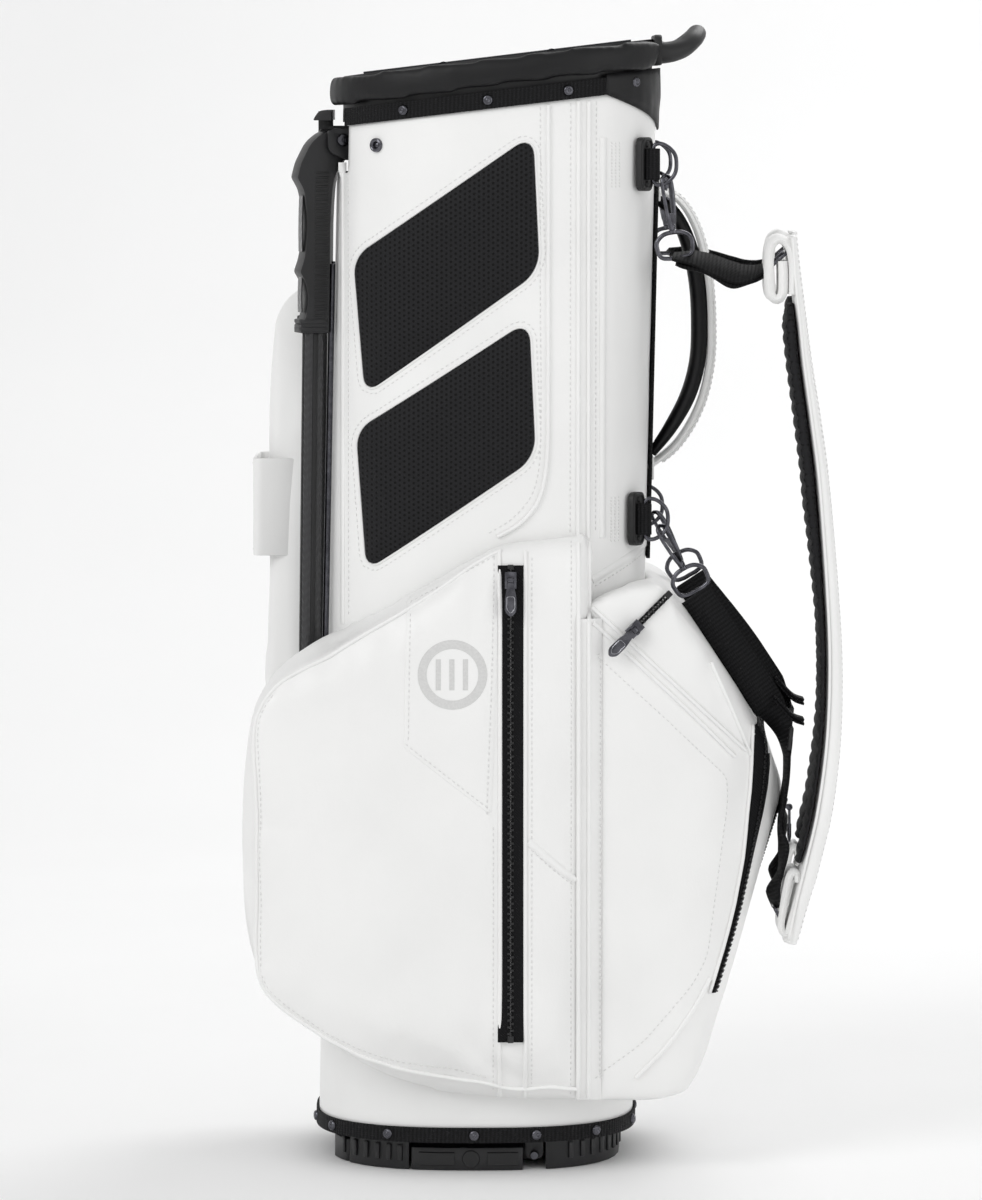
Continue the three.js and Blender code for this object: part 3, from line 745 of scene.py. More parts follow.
def run_wave(tree, attribute, pitch_mm, phase=0.0):
    """A wave along a piece's own length or round it, from the distances stored on its mesh."""
    run = node(tree, "ShaderNodeAttribute", attribute_name=attribute).outputs["Fac"]
    turn = math_node(tree, "MULTIPLY", run, 2 * math.pi / pitch_mm)
    return math_node(tree, "SINE", math_node(tree, "ADD", turn, phase))


def nylon_webbing(name, rib_mm=3.2):
    """Woven nylon webbing: ribs across the strap, crossed by the lines of its warp."""
    def build(tree):
        rib = run_wave(tree, "run", rib_mm)
        warp = run_wave(tree, "turn", 1.7)
        weave = math_node(tree, "ADD", math_node(tree, "MULTIPLY", rib, 0.35), math_node(tree, "MULTIPLY", warp, 0.15))
        weave = math_node(tree, "ADD", weave, 0.5, clamp=True)
        fuzz = noise(tree, 1.1, 3.0)
        return {
            "Base Color": ramp(tree, weave, [(0.15, "#040405"), (0.85, "#161618")]),
            "Roughness": spread(tree, fuzz, 0.6, 0.85), "Normal": bump(tree, fuzz, 0.08, under=bump(tree, weave, 0.7)),
        }
    return surface(name, {"IOR": 1.53, "Specular IOR Level": 0.22}, build)


def woven_tape(name, rib_mm, direction, dark="#050506", light="#131315"):
    """Grosgrain binding or zip tape: fine ribs along one direction of the bag."""
    def build(tree):
        where = place_mm(tree)
        run = node(
            tree, "ShaderNodeVectorMath", {0: where, 1: Vector(direction).normalized() * (2 * math.pi / rib_mm)},
            operation="DOT_PRODUCT",
        )
        rib = spread(tree, math_node(tree, "SINE", run.outputs["Value"]), 0.5, 1.0)
        fuzz = noise(tree, 0.9, 3.0)
        return {
            "Base Color": ramp(tree, rib, [(0.2, dark), (0.9, light)]),
            "Roughness": spread(tree, fuzz, 0.65, 0.9), "Normal": bump(tree, fuzz, 0.06, under=bump(tree, rib, 0.5)),
        }
    return surface(name, {"IOR": 1.5, "Specular IOR Level": 0.2}, build)


def soft_black(name):
    """Neoprene-backed polyurethane on the cuff: matt black with a fine grain and slow folds, whose hollows are painted
    a little darker as shade.
    """
    def build(tree):
        grain = node(
            tree, "ShaderNodeTexVoronoi", {"Vector": place_mm(tree, (0.8,) * 3), "Scale": 1.0},
        ).outputs["Distance"]
        folds = noise(tree, 22, 3.0, 0.5, (0.4, 0.4, 1.4))
        return {
            # The fold hollows are painted darker and the fold tops lighter: painted shade and light.
            "Base Color": ramp(tree, folds, [(0.3, "#08080a"), (0.7, "#111113")]),
            "Roughness": spread(tree, folds, 0.42, 0.6),
            "Normal": bump(tree, grain, 0.05, under=bump(tree, folds, 0.9)),
        }
    return surface(name, {"IOR": 1.5, "Specular IOR Level": 0.35}, build)


def moulded_plastic(name, base="#0b0b0d", light="#131316", rough=(0.36, 0.52)):
    """Injection-moulded ABS with a spark-eroded texture: an even, fine grain that spreads its highlights."""
    def build(tree):
        grit = noise(tree, 0.7, 4.0, 0.6)
        wear = noise(tree, 35, 3.0)
        return {
            "Base Color": ramp(tree, wear, [(0.35, base), (0.7, light)]),
            "Roughness": spread(tree, wear, *rough), "Normal": bump(tree, grit, 0.05),
        }
    return surface(name, {"IOR": 1.54}, build)


def carbon_braid(name, pitch_mm=7.0):
    """Braided carbon under clear epoxy: chevrons that run down the leg, bright and dark by turns, the bright bands a
    painted sheen on the black braid.
    """
    def build(tree):
        run = node(tree, "ShaderNodeAttribute", attribute_name="run").outputs["Fac"]
        turn = node(tree, "ShaderNodeAttribute", attribute_name="turn").outputs["Fac"]
        slant = math_node(tree, "PINGPONG", turn, 4.0)
        band = math_node(tree, "ADD", run, slant)
        wave = math_node(tree, "SINE", math_node(tree, "MULTIPLY", band, 2 * math.pi / pitch_mm))
        share = spread(tree, wave, 0.5, 1.0)
        return {
            # The lighter chevrons in the colour are a painted sheen of the braid.
            "Base Color": ramp(tree, share, [(0.3, "#040405"), (0.62, "#1d1d20")]),
            "Roughness": spread(tree, share, 0.5, 0.28), "Normal": bump(tree, share, 0.35),
        }
    return surface(name, {"IOR": 1.55, "Coat Weight": 0.5, "Coat Roughness": 0.12}, build)


def moulded_rubber(name):
    """Vulcanised rubber: dull, with dust in its pores."""
    def build(tree):
        pores = noise(tree, 1.4, 4.0, 0.6)
        return {
            "Base Color": ramp(tree, noise(tree, 20), [(0.3, "#0c0c0d"), (0.75, "#19191a")]),
            "Roughness": spread(tree, pores, 0.7, 0.9), "Normal": bump(tree, pores, 0.12),
        }
    return surface(name, {"IOR": 1.52}, build)


def plated_zinc(name, base, light, rough=(0.16, 0.3)):
    """Die-cast zinc with dark nickel plating: dark mirror faces with faint polishing haze."""
    def build(tree):
        haze = noise(tree, 6, 3.0)
        scratch = noise(tree, 1.2, 2.0, 0.5, (1, 1, 0.15))
        return {
            "Base Color": ramp(tree, haze, [(0.3, base), (0.7, light)]),
            "Roughness": spread(tree, haze, *rough), "Normal": bump(tree, scratch, 0.02),
        }
    return surface(name, {"Metallic": 1.0}, build)


def sewing_thread(name, base, light):
    """Bonded polyester thread: a slight shine along each twist."""
    def build(tree):
        twist = noise(tree, 0.6, 2.0)
        return {
            "Base Color": ramp(tree, twist, [(0.3, base), (0.7, light)]),
            "Roughness": spread(tree, twist, 0.45, 0.65), "Normal": bump(tree, twist, 0.05),
        }
    return surface(name, {"IOR": 1.5}, build)


def printed_grey(name):
    """Screen-printed ink on leather: flat pale grey that keeps a little of the pebble."""
    def build(tree):
        pebble = noise(tree, 1.6, 2.0)
        return {
            "Base Color": ramp(tree, pebble, [(0.3, "#cfcfce"), (0.7, "#d8d8d7")]),
            "Roughness": spread(tree, pebble, 0.5, 0.65), "Normal": bump(tree, pebble, 0.03),
        }
    return surface(name, {"IOR": 1.5}, build)


def make_materials():
    """Every finish on the bag, by its own name."""
    pitch = bpy.context.scene.bag_padding.mesh_pitch / MM
    white = (*bpy.context.scene.bag_leather.colour, 1.0)
    return {
        "leather": coated_leather("white_coated_leather", white, "#efefee"),
        "hip_mesh": air_mesh("hip_pad_air_mesh", (1, 0, 0), (0, 0, 1), pitch),
        "strap_mesh": air_mesh("strap_air_mesh", (0, 1, 0), (0, 0, 1), pitch * 1.1),
        "webbing": nylon_webbing("black_nylon_webbing"),
        "binding": woven_tape("black_grosgrain_binding", 2.6, (1, 0.35, 0)),
        "zip_tape": woven_tape("black_zip_tape", 1.6, (1, 0, 1)),
        "cuff": soft_black("black_cuff_skin"),
        "plastic": moulded_plastic("black_moulded_abs"),
        "dark_plastic": moulded_plastic("black_moulded_nylon", "#080809", "#0f0f11", (0.45, 0.62)),
        "carbon": carbon_braid("braided_carbon"),
        "rubber": moulded_rubber("black_rubber"),
        "gunmetal": plated_zinc("black_nickel_plated_zinc", "#4b4b50", "#6a6a70"),
        "bright": plated_zinc("bright_nickel_plated_zinc", "#8d8d93", "#b3b3b8", (0.12, 0.22)),
        "aluminium": plated_zinc("drawn_aluminium", "#9c9da0", "#b9babd", (0.3, 0.42)),
        "white_thread": sewing_thread("white_polyester_thread", "#dcdcdb", "#e9e9e8"),
        "print": printed_grey("grey_screen_print"),
        "tooth": moulded_plastic("black_zip_coil", "#0d0d0e", "#1b1b1d", (0.25, 0.35)),
        "tri_cloth": woven_tape("grey_divider_fleece", 1.2, (1, 1, 0), "#17171a", "#26262a"),
    }


# ---------------------------------------------------------------- soft pieces
def stuffed(piece, voxel_mm, pressure, swell_mm, held=None, ease=4):
    """Rounds a plain solid into a sewn, filled form: remeshed, swollen by cloth pressure, and eased."""
    shell = piece.modifiers.new("skin", "REMESH")
    shell.mode, shell.voxel_size = "VOXEL", voxel_mm * MM
    applied(piece)
    mesh = piece.data
    start = [v.co.copy() for v in mesh.vertices]
    pinned = [held is not None and held(v.co / MM) for v in mesh.vertices]
    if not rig.quick():
        if any(pinned):
            group = piece.vertex_groups.new(name="sewn")
            group.add([i for i, p in enumerate(pinned) if p], 1.0, "REPLACE")
        cloth = piece.modifiers.new("filling", "CLOTH")
        cloth.settings.quality = 4
        cloth.settings.mass = 0.25
        cloth.settings.use_pressure = True
        cloth.settings.uniform_pressure_force = pressure
        cloth.settings.effector_weights.gravity = 0
        cloth.collision_settings.use_collision = False
        if any(pinned):
            cloth.settings.vertex_group_mass = "sewn"
        cloth.point_cache.frame_start, cloth.point_cache.frame_end = 1, 20
        scene = bpy.context.scene
        for step in range(1, 21):
            scene.frame_set(step)
        graph = bpy.context.evaluated_depsgraph_get()
        swollen = [v.co.copy() for v in piece.evaluated_get(graph).data.vertices]
        piece.modifiers.remove(cloth)
        scene.frame_set(1)
        for v, a, b in zip(mesh.vertices, start, swollen):
            move = b - a
            if move.length > swell_mm * MM:
                move *= swell_mm * MM / move.length
            v.co = a + move
    bm = bmesh.new()
    bm.from_mesh(mesh)
    fixed = {i for i, p in enumerate(pinned) if p}
    bm.verts.ensure_lookup_table()
    free = [v for v in bm.verts if v.index not in fixed]
    for _ in range(ease):
        bmesh.ops.smooth_vert(bm, verts=free, factor=0.5, use_axis_x=True, use_axis_y=True, use_axis_z=True)
    bm.to_mesh(mesh)
    bm.free()
    finer = piece.modifiers.new("finer", "SUBSURF")
    finer.levels = finer.render_levels = 1
    applied(piece)
    piece.data.polygons.foreach_set("use_smooth", [True] * len(piece.data.polygons))
    return piece


def dent(p, depth):
    """A slow inward dent of soft leather at p, in millimetres."""
    wave = mathnoise.noise(Vector((p.x / 70, p.y / 70, p.z / 95)))
    fold = mathnoise.noise(Vector((p.x / 24 + 7, p.y / 24, p.z / 60)))
    return -depth * max(0.0, 0.8 * wave + 0.45 * fold)


class BAG_OT_body_tube(bpy.types.Operator):
    """The tall leather tube, cut away for the leg bracket and the push rods, with a dark lining"""

    bl_idname = "bag.body_tube"
    bl_label = "Body tube"

    def execute(self, context):
        depth = context.scene.bag_leather.crease_depth / MM
        turns = even_turns(168)
        levels = 96
        stations = []
        for k in range(levels + 1):
            share = k / levels
            ring = []
            for a in turns:
                z = FABRIC_Z + share * (mouth_z(plan_point(a, TOP_Z).x) - FABRIC_Z)
                p = plan_point(a, z)
                out = Vector((p.x - LEAN * z, p.y, 0)).normalized()
                ring.append(p + out * dent(p, depth) * math.sin(math.pi * share) ** 0.3)
            stations.append(ring)
        bm = loft(stations, cap=False)
        cuts = [
            ((0, sign * y, 0), (0, 1, 0))
            for y in (ROD_SLOT["inner"], ROD_SLOT["outer"], NOTCH["half"]) for sign in (1, -1)
        ] + [((0, 0, z), (0, 0, 1)) for z in (NOTCH["z"], ROD_SLOT["low"], ROD_SLOT["high"])]
        for spot, way in cuts:
            bmesh.ops.bisect_plane(
                bm, geom=bm.verts[:] + bm.edges[:] + bm.faces[:], plane_co=spot, plane_no=way,
            )
        gone = []
        for face in bm.faces:
            c = face.calc_center_median()
            notch = c.x < LEG_SIDE_X and abs(c.y) < NOTCH["half"] and c.z > NOTCH["z"]
            slot = (
                c.x < LEG_SIDE_X and ROD_SLOT["inner"] < abs(c.y) < ROD_SLOT["outer"]
                and ROD_SLOT["low"] < c.z < ROD_SLOT["high"]
            )
            if notch or slot:
                gone.append(face)
        bmesh.ops.delete(bm, geom=gone, context="FACES")
        tube = finished("body_leather", bm, ("leather", "tri_cloth"), "bag", 40, ["body_shell"])
        wall = tube.modifiers.new("wall", "SOLIDIFY")
        wall.thickness, wall.offset, wall.material_offset = 0.0022, -1, 1
        BAG["tube"] = tube
        return {"FINISHED"}


def zip_strip(x, z, half=13.0):
    """Whether a point of a side pocket's face lies under its zip."""
    return abs(x - ZIP_X) < half and 96 < z < 690


class BAG_OT_pockets(bpy.types.Operator):
    """The two side pockets and the ball pocket as filled leather forms that the tube holds in"""

    bl_idname = "bag.pockets"
    bl_label = "Pockets"

    def execute(self, context):
        pressure = context.scene.bag_padding.pressure
        depth = context.scene.bag_leather.crease_depth / MM

        def against_tube(p, gap=4.0):
            return abs(p.y) < tube_y(p.x, p.z) + gap and abs(p.x - LEAN * p.z) < TUBE_HALF_X + gap

        def side_held(p):
            return against_tube(p) or (abs(p.y) > 120 and zip_strip(p.x, p.z)) or (p.x > 80 and abs(p.y) < 132)

        def ball_held(p):
            under_ball_zip = abs(p.y + 52) < 15 and p.x > 184 and 128 < p.z < 306
            under_small_zip = p.y < -100 and abs((p.x - 134) - (p.z - 442)) < 18 and 412 < p.z < 474
            return against_tube(p) or p.x < 96 or under_ball_zip or under_small_zip

        for node_name, held, swell in (
            ("near_pocket", side_held, 7.0), ("far_pocket", side_held, 7.0), ("ball_pocket", ball_held, 4.0),
        ):
            bm = merged_copy(node_name)
            piece = finished(f"{node_name}_leather", bm, "leather", "bag", 180, [node_name])
            stuffed(piece, 6.0, pressure, swell, held, ease=3)
            if node_name != "ball_pocket":
                outs = [v.normal.copy() for v in piece.data.vertices]
                for v, out in zip(piece.data.vertices, outs):
                    p = v.co / MM
                    if abs(p.y) > 100 and not zip_strip(p.x, p.z, 18.0):
                        fade = min(1.0, (abs(p.x - ZIP_X) - 18) / 30)
                        v.co += out * dent(p, 2.4 * depth / 1.2) * MM * fade
            BAG[node_name] = piece
        # A leather gusset closes the seam between each side pocket and the ball pocket.
        sides_skin = Skin(BAG["near_pocket"], BAG["ball_pocket"])
        gusset = bmesh.new()
        line = [(sides_skin.near(79, z)[0], sides_skin.near(99, z)[0]) for z in range(62, 446, 6)]
        middles = [a.lerp(b, 0.5) + Vector((0, -0.6, 0)) for a, b in line]
        merge_into(gusset, strap(middles, [(b - a) * 0.5 for a, b in line], 2.4))
        both = merge_into(mirrored(gusset.copy()), gusset)
        seam = finished("pocket_seam_gussets", both, "leather", "bag", 60)
        BAG["skin"] = Skin(BAG["tube"], BAG["near_pocket"], BAG["far_pocket"], BAG["ball_pocket"], seam)
        return {"FINISHED"}


# ---------------------------------------------------------------- what is sewn on the leather
def inside(points, distance):
    """A closed 2-D outline moved inwards by distance."""
    area = sum(a.x * b.y - b.x * a.y for a, b in zip(points, points[1:] + points[:1]))
    turn = 1 if area > 0 else -1
    out = []
    for i, p in enumerate(points):
        way = (points[(i + 1) % len(points)] - points[i - 1]).normalized()
        out.append(p + Vector((-way.y, way.x)) * distance * turn)
    return out


def edge_gap(p, outline):
    """Distance from p to a closed 2-D outline."""
    best = 1e9
    for a, b in zip(outline, outline[1:] + outline[:1]):
        ab = b - a
        share = max(0.0, min(1.0, (p - a).dot(ab) / max(1e-9, ab.length_squared)))
        best = min(best, (p - a - ab * share).length)
    return best


def sewn_panel(skin, outline, height, rings, sunk=1.5):
    """A panel on the -Y side, drawn in ring by ring; height(gap) is its rise at that gap from the edge."""
    centre = sum(outline, Vector((0, 0))) / len(outline)
    stations = []
    for k, share in enumerate([0.0, *rings]):
        ring = []
        for p in outline:
            q = p.lerp(centre, share)
            lift = -sunk if k == 0 else height(edge_gap(q, outline))
            ring.append(skin.near(q.x, q.y, lift)[0])
        stations.append(ring)
    bm = loft(stations, cap=False)
    last = [v for v in bm.verts if any((v.co - p).length < 1e-5 for p in stations[-1])]
    bmesh.ops.contextual_create(bm, geom=last)
    bmesh.ops.recalc_face_normals(bm, faces=bm.faces)
    if sum(f.normal.y * f.calc_area() for f in bm.faces) > 0:
        bmesh.ops.reverse_faces(bm, faces=bm.faces)
    return bm


def skin_path(skin, outline, lift=0.0, closed=True):
    """A 2-D line laid on the -Y side: its points and the ways out."""
    found = [skin.near(p.x, p.y, lift) for p in outline]
    points, ways = [f[0] for f in found], [f[1] for f in found]
    if closed:
        points.append(points[0])
        ways.append(ways[0])
    return points, ways


def wrapped(skin, guide, spacing=4.0, lift=0.6):
    """A line drawn round an edge: each guide point is carried to the nearest point of the surface."""
    points, ways = [], []
    for p in smooth_path(guide, spacing):
        spot, normal, _, _ = skin.tree.find_nearest(p)
        if (p - spot).dot(normal) < 0:
            normal = -normal
        points.append(spot + normal * lift)
        ways.append(normal)
    for _ in range(3):
        points = [points[0]] + [
            (points[i - 1] + points[i] * 2 + points[i + 1]) / 4 for i in range(1, len(points) - 1)
        ] + [points[-1]]
    return points, ways


def face_depth(z, top=505.0):
    """How far a side pocket's flat face stands from the middle plane."""
    return 160 - 22 * (z - 100) / (top - 114)


NEAR_PIPING = [
    (57, 837), (57, 770), (57, 690), (57, 610), (56, 560), (50, 531), (36, 513), (18, 502),
]
NEAR_EDGE = [
    (18, 502), (-20, 479), (-62, 451), (-110, 421), (-154, 396), (-172, 378), (-182, 345), (-182, 290), (-182, 230),
    (-181, 175), (-172, 146), (-142, 118), (-102, 92), (-64, 76), (-30, 63), (20, 58), (84, 57),
]


class BAG_OT_piping(bpy.types.Operator):
    """White piping in the seams of the tube and the pockets, and the seams beside it"""

    bl_idname = "bag.piping"
    bl_label = "Piping and seams"

    def execute(self, context):
        skin = BAG["skin"]
        radius = context.scene.bag_leather.piping_radius / MM
        lines = []
        near_tube = Skin(BAG["tube"])
        lines.append(near_tube.line(NEAR_PIPING, 5, 0.9))
        edge = [Vector((x, -face_depth(z) - 3, z)) for x, z in NEAR_EDGE]
        lines.append(wrapped(skin, edge, 5, 0.7))
        for x in (80.5, 88.5):
            lines.append(near_tube.line([(x, 840), (x, 700), (x, 500)], 6, 0.9))
            lines.append(skin.line([(x, 498), (x, 300), (x, 64)], 6, 0.7))
        lines.append(skin.line([(19.5, 492), (19.5, 300), (19.5, 66)], 6, 0.6))
        lines.append(skin.line([(39.5, 492), (39.5, 300), (39.5, 66)], 6, 0.6))
        lines.append(skin.line([(92, 437), (130, 402), (168, 366), (203, 330)], 5, 0.7))
        lines.append(skin.line([(92, 448), (134, 409), (172, 373), (212, 334)], 5, 0.7))
        lines.append(skin.line([(126, 79), (150, 104), (172, 134), (184, 156)], 5, 0.7))
        lines.append(skin.line([(184, 404), (196, 378), (208, 350), (216, 330)], 5, 0.6))
        bm = bmesh.new()
        for points, _ in lines:
            merge_into(bm, bar(points, radius, 10))
        far = bmesh.new()
        for points in (
            [(57, 837), (57, 700)], [(82, 840), (82, 704)],
        ):
            path, _ = near_tube.line(points, 6, 0.9)
            merge_into(far, bar(path, radius, 10))
        merge_into(bm, mirrored(far))
        tall = [
            (80, 694), (20, 699), (-60, 700), (-134, 698), (-160, 680), (-172, 640), (-176, 560), (-178, 470),
            (-180, 360),
            (-181, 250), (-181, 172), (-168, 142), (-100, 90), (-30, 61), (84, 57),
        ]
        points, _ = wrapped(skin, [Vector((x, face_depth(z, 700) + 3, z)) for x, z in tall], 6, 0.7)
        merge_into(bm, bar(points, radius, 10))
        finished("white_piping", bm, "leather", "bag", 60)

        # The flat folded seams: a thin raised lip of leather.
        lips = bmesh.new()
        for corners, owner in (
            ([(-104, 792), (-104, 600), (-104, 430)], near_tube), ([(42, 268), (60, 252), (79, 236)], skin),
            ([(92, 467), (116, 480), (140, 493)], skin), ([(100, 812), (100, 640), (100, 500)], near_tube),
        ):
            path, ways = owner.line(corners, 6, 0.2)
            halves = [w.cross(t) * 3.2 for w, t in zip(ways, tangents(path))]
            merge_into(lips, strap(path, halves, 1.3))
        finished("seam_folds", lips, "leather", "bag", 60)
        return {"FINISHED"}


PATCH = [(-53, 455, 2), (19, 495, 2), (17, 392, 2), (13, 288, 2), (-55, 341, 2)]
BALL_PANEL = [
    (94, 417, 2), (150, 366, 6), (201, 316, 8), (202, 294, 8), (186, 172, 10), (174, 150, 8), (134, 104, 8),
    (94, 74, 2),
]


class BAG_OT_patch(bpy.types.Operator):
    """The stitched patch with its plain printed ring, and the stitching of the panels"""

    bl_idname = "bag.patch"
    bl_label = "Patch and stitching"

    def execute(self, context):
        skin = BAG["skin"]
        length = context.scene.bag_leather.stitch_length / MM
        outline = rounded(PATCH, 4)
        bm = sewn_panel(
            skin, outline, lambda gap: min(1.0, 0.4 + gap * 0.3), [0.012, 0.03, 0.1, 0.25, 0.45, 0.65, 0.85, 0.97],
        )
        patch = finished("pocket_patch", bm, "leather", "bag", 50)
        top = Skin(patch)

        angles = [2 * math.pi * i / 48 for i in range(48)]
        ring_outer, ring_inner = (
            [Vector((-17 + r * math.cos(a), 398 + r * math.sin(a))) for a in angles] for r in (27, 20)
        )
        marks = bmesh.new()
        stations = []
        for outer, inner in zip(ring_outer, ring_inner):
            stations.append([top.near(q.x, q.y, 0.12)[0] for q in (outer, outer.lerp(inner, 0.5), inner)])
        merge_into(marks, loft(stations + stations[:1], closed=False))
        for low, high in ((-30, -26), (-19.5, -15.5), (-9, -5)):
            rows = [[top.near(x, z, 0.12)[0] for x in (low, high)] for z in range(386, 411, 4)]
            merge_into(marks, loft(rows, closed=False))
        bmesh.ops.remove_doubles(marks, verts=marks.verts, dist=0.01)
        finished("patch_print", marks, "print", "bag", 60)

        rows = bmesh.new()
        for line, owner, closed in (
            (inside(outline, 3.6), top, True), (inside(rounded(BALL_PANEL, 4), 4.0), skin, True),
        ):
            path, ways = skin_path(owner, line, 0.1, closed)
            merge_into(rows, stitches(path, ways, length))
        tube = Skin(BAG["tube"])
        for corners, owner in (
            ([(51, 836), (51, 700), (51, 566), (45, 536), (30, 517), (8, 503)], tube),
            ([(94.5, 840), (94.5, 700), (94.5, 504)], tube), ([(74.5, 839), (74.5, 700), (74.5, 504)], tube),
            ([(44, 262), (60, 247), (79, 231)], skin), ([(94, 462), (118, 475), (141, 488)], skin),
            ([(44.5, 488), (44.5, 300), (44.5, 70)], skin), ([(14.5, 280), (14.5, 180), (14.5, 70)], skin),
            ([(75, 500), (75, 300), (75, 66)], skin), ([(-99, 790), (-99, 600), (-99, 436)], tube),
        ):
            path, ways = owner.line(corners, 4, 0.1)
            merge_into(rows, stitches(path, ways, length))
        hem = [Vector((x, -face_depth(z) + 3, z)) for x, z in [
            (-158, 384), (-168, 366), (-171, 340), (-171, 250), (-170, 180), (-162, 152), (-100, 103),
            (-30, 75), (10, 71),
        ]]
        path, ways = wrapped(skin, [p + Vector((0, -8, 0)) for p in hem], 4, 0.1)
        merge_into(rows, stitches(path, ways, length))
        for z0 in (773, 496):
            for k in range(3):
                path, ways = tube.line([(107 + 3.0 * k, z0), (107 + 3.0 * k, z0 + 38)], 3, 0.1)
                merge_into(rows, stitches(path, ways, 2.0, 0.6, lean=0.4))
        finished("white_stitching", rows, "white_thread", "bag", 180)
        return {"FINISHED"}


HIP_PADS = {
    "upper": [(-85, 613, 12), (-94, 718, 14), (45, 814, 16), (50, 709, 16)],
    "lower": [(-84, 475, 12), (-92, 583, 14), (42, 670, 16), (47, 564, 16)],
}


class BAG_OT_hip_pads(bpy.types.Operator):
    """Two crowned pads of air mesh set in windows of the leather, each with a folded lip and a stitched border"""

    bl_idname = "bag.hip_pads"
    bl_label = "Hip pads"

    def execute(self, context):
        tube = Skin(BAG["tube"])
        length = context.scene.bag_leather.stitch_length / MM
        rings = [0.006, 0.02, 0.045, 0.08, 0.13, 0.2, 0.29, 0.4, 0.52, 0.64, 0.76, 0.88, 0.97]
        for level, corners in HIP_PADS.items():
            outline = rounded(corners, 3)
            bm = sewn_panel(tube, inside(outline, -0.6), lambda gap: 0.3 + 6.3 * min(1.0, gap / 18) ** 0.55, rings, 2)
            pad = finished(f"hip_pad_{level}_mesh", bm, "hip_mesh", "bag", 180, [f"hip_pad_{level}"])
            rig.padded(pad, fill=0.8)
            path, _ = skin_path(tube, inside(outline, -1.4), 0.2, closed=False)
            finished(f"hip_pad_{level}_lip", bar(path, 1.0, 8, closed=True), "leather", "bag", 180)
            path, ways = skin_path(tube, inside(outline, -5.4), 0.1)
            finished(f"hip_pad_{level}_stitches", stitches(path, ways, length), "white_thread", "bag", 180)
        return {"FINISHED"}


def rivet(radius):
    """A domed rivet head with a rolled rim and a small dimple, standing on Z 0."""
    r = radius
    return turned([
        (0, r * 0.62), (r * 0.2, r * 0.6), (r * 0.34, r * 0.5), (r * 0.48, r * 0.56), (r * 0.72, r * 0.52),
        (r * 0.9, r * 0.36),
        (r, r * 0.16), (r * 0.98, -r * 0.3), (0, -r * 0.3),
    ], 20)


def wall_band(low, high, offset, thick, turns, closed=True, bulge=0.0, tilted=True, crumple=0.0):
    """A band round the tube.

    low and high are heights from the mouth or, where it isn't tilted, from the floor; low may be a function of the turn.
    """
    stations = []
    for a in turns:
        column = []
        foot = low(a) if callable(low) else low
        for side, rows in ((1, range(5)), (-1, range(4, -1, -1))):
            for k in rows:
                share = k / 4
                z = TOP_Z if tilted else foot
                x = plan_point(a, z).x
                height = (mouth_z(x) if tilted else 0) + foot + (high - foot) * share
                swell = bulge * math.sin(math.pi * share)
                spot = plan_point(a, height, offset + (thick + swell if side > 0 else 0))
                if crumple and side > 0:
                    wave = mathnoise.noise(Vector((spot.y / 9, spot.z / 14, spot.x / 9)))
                    spot += Vector((1, 0.3, 0)).normalized() * crumple * wave
                column.append(spot)
        stations.append(column)
    return loft(stations, loop=closed)


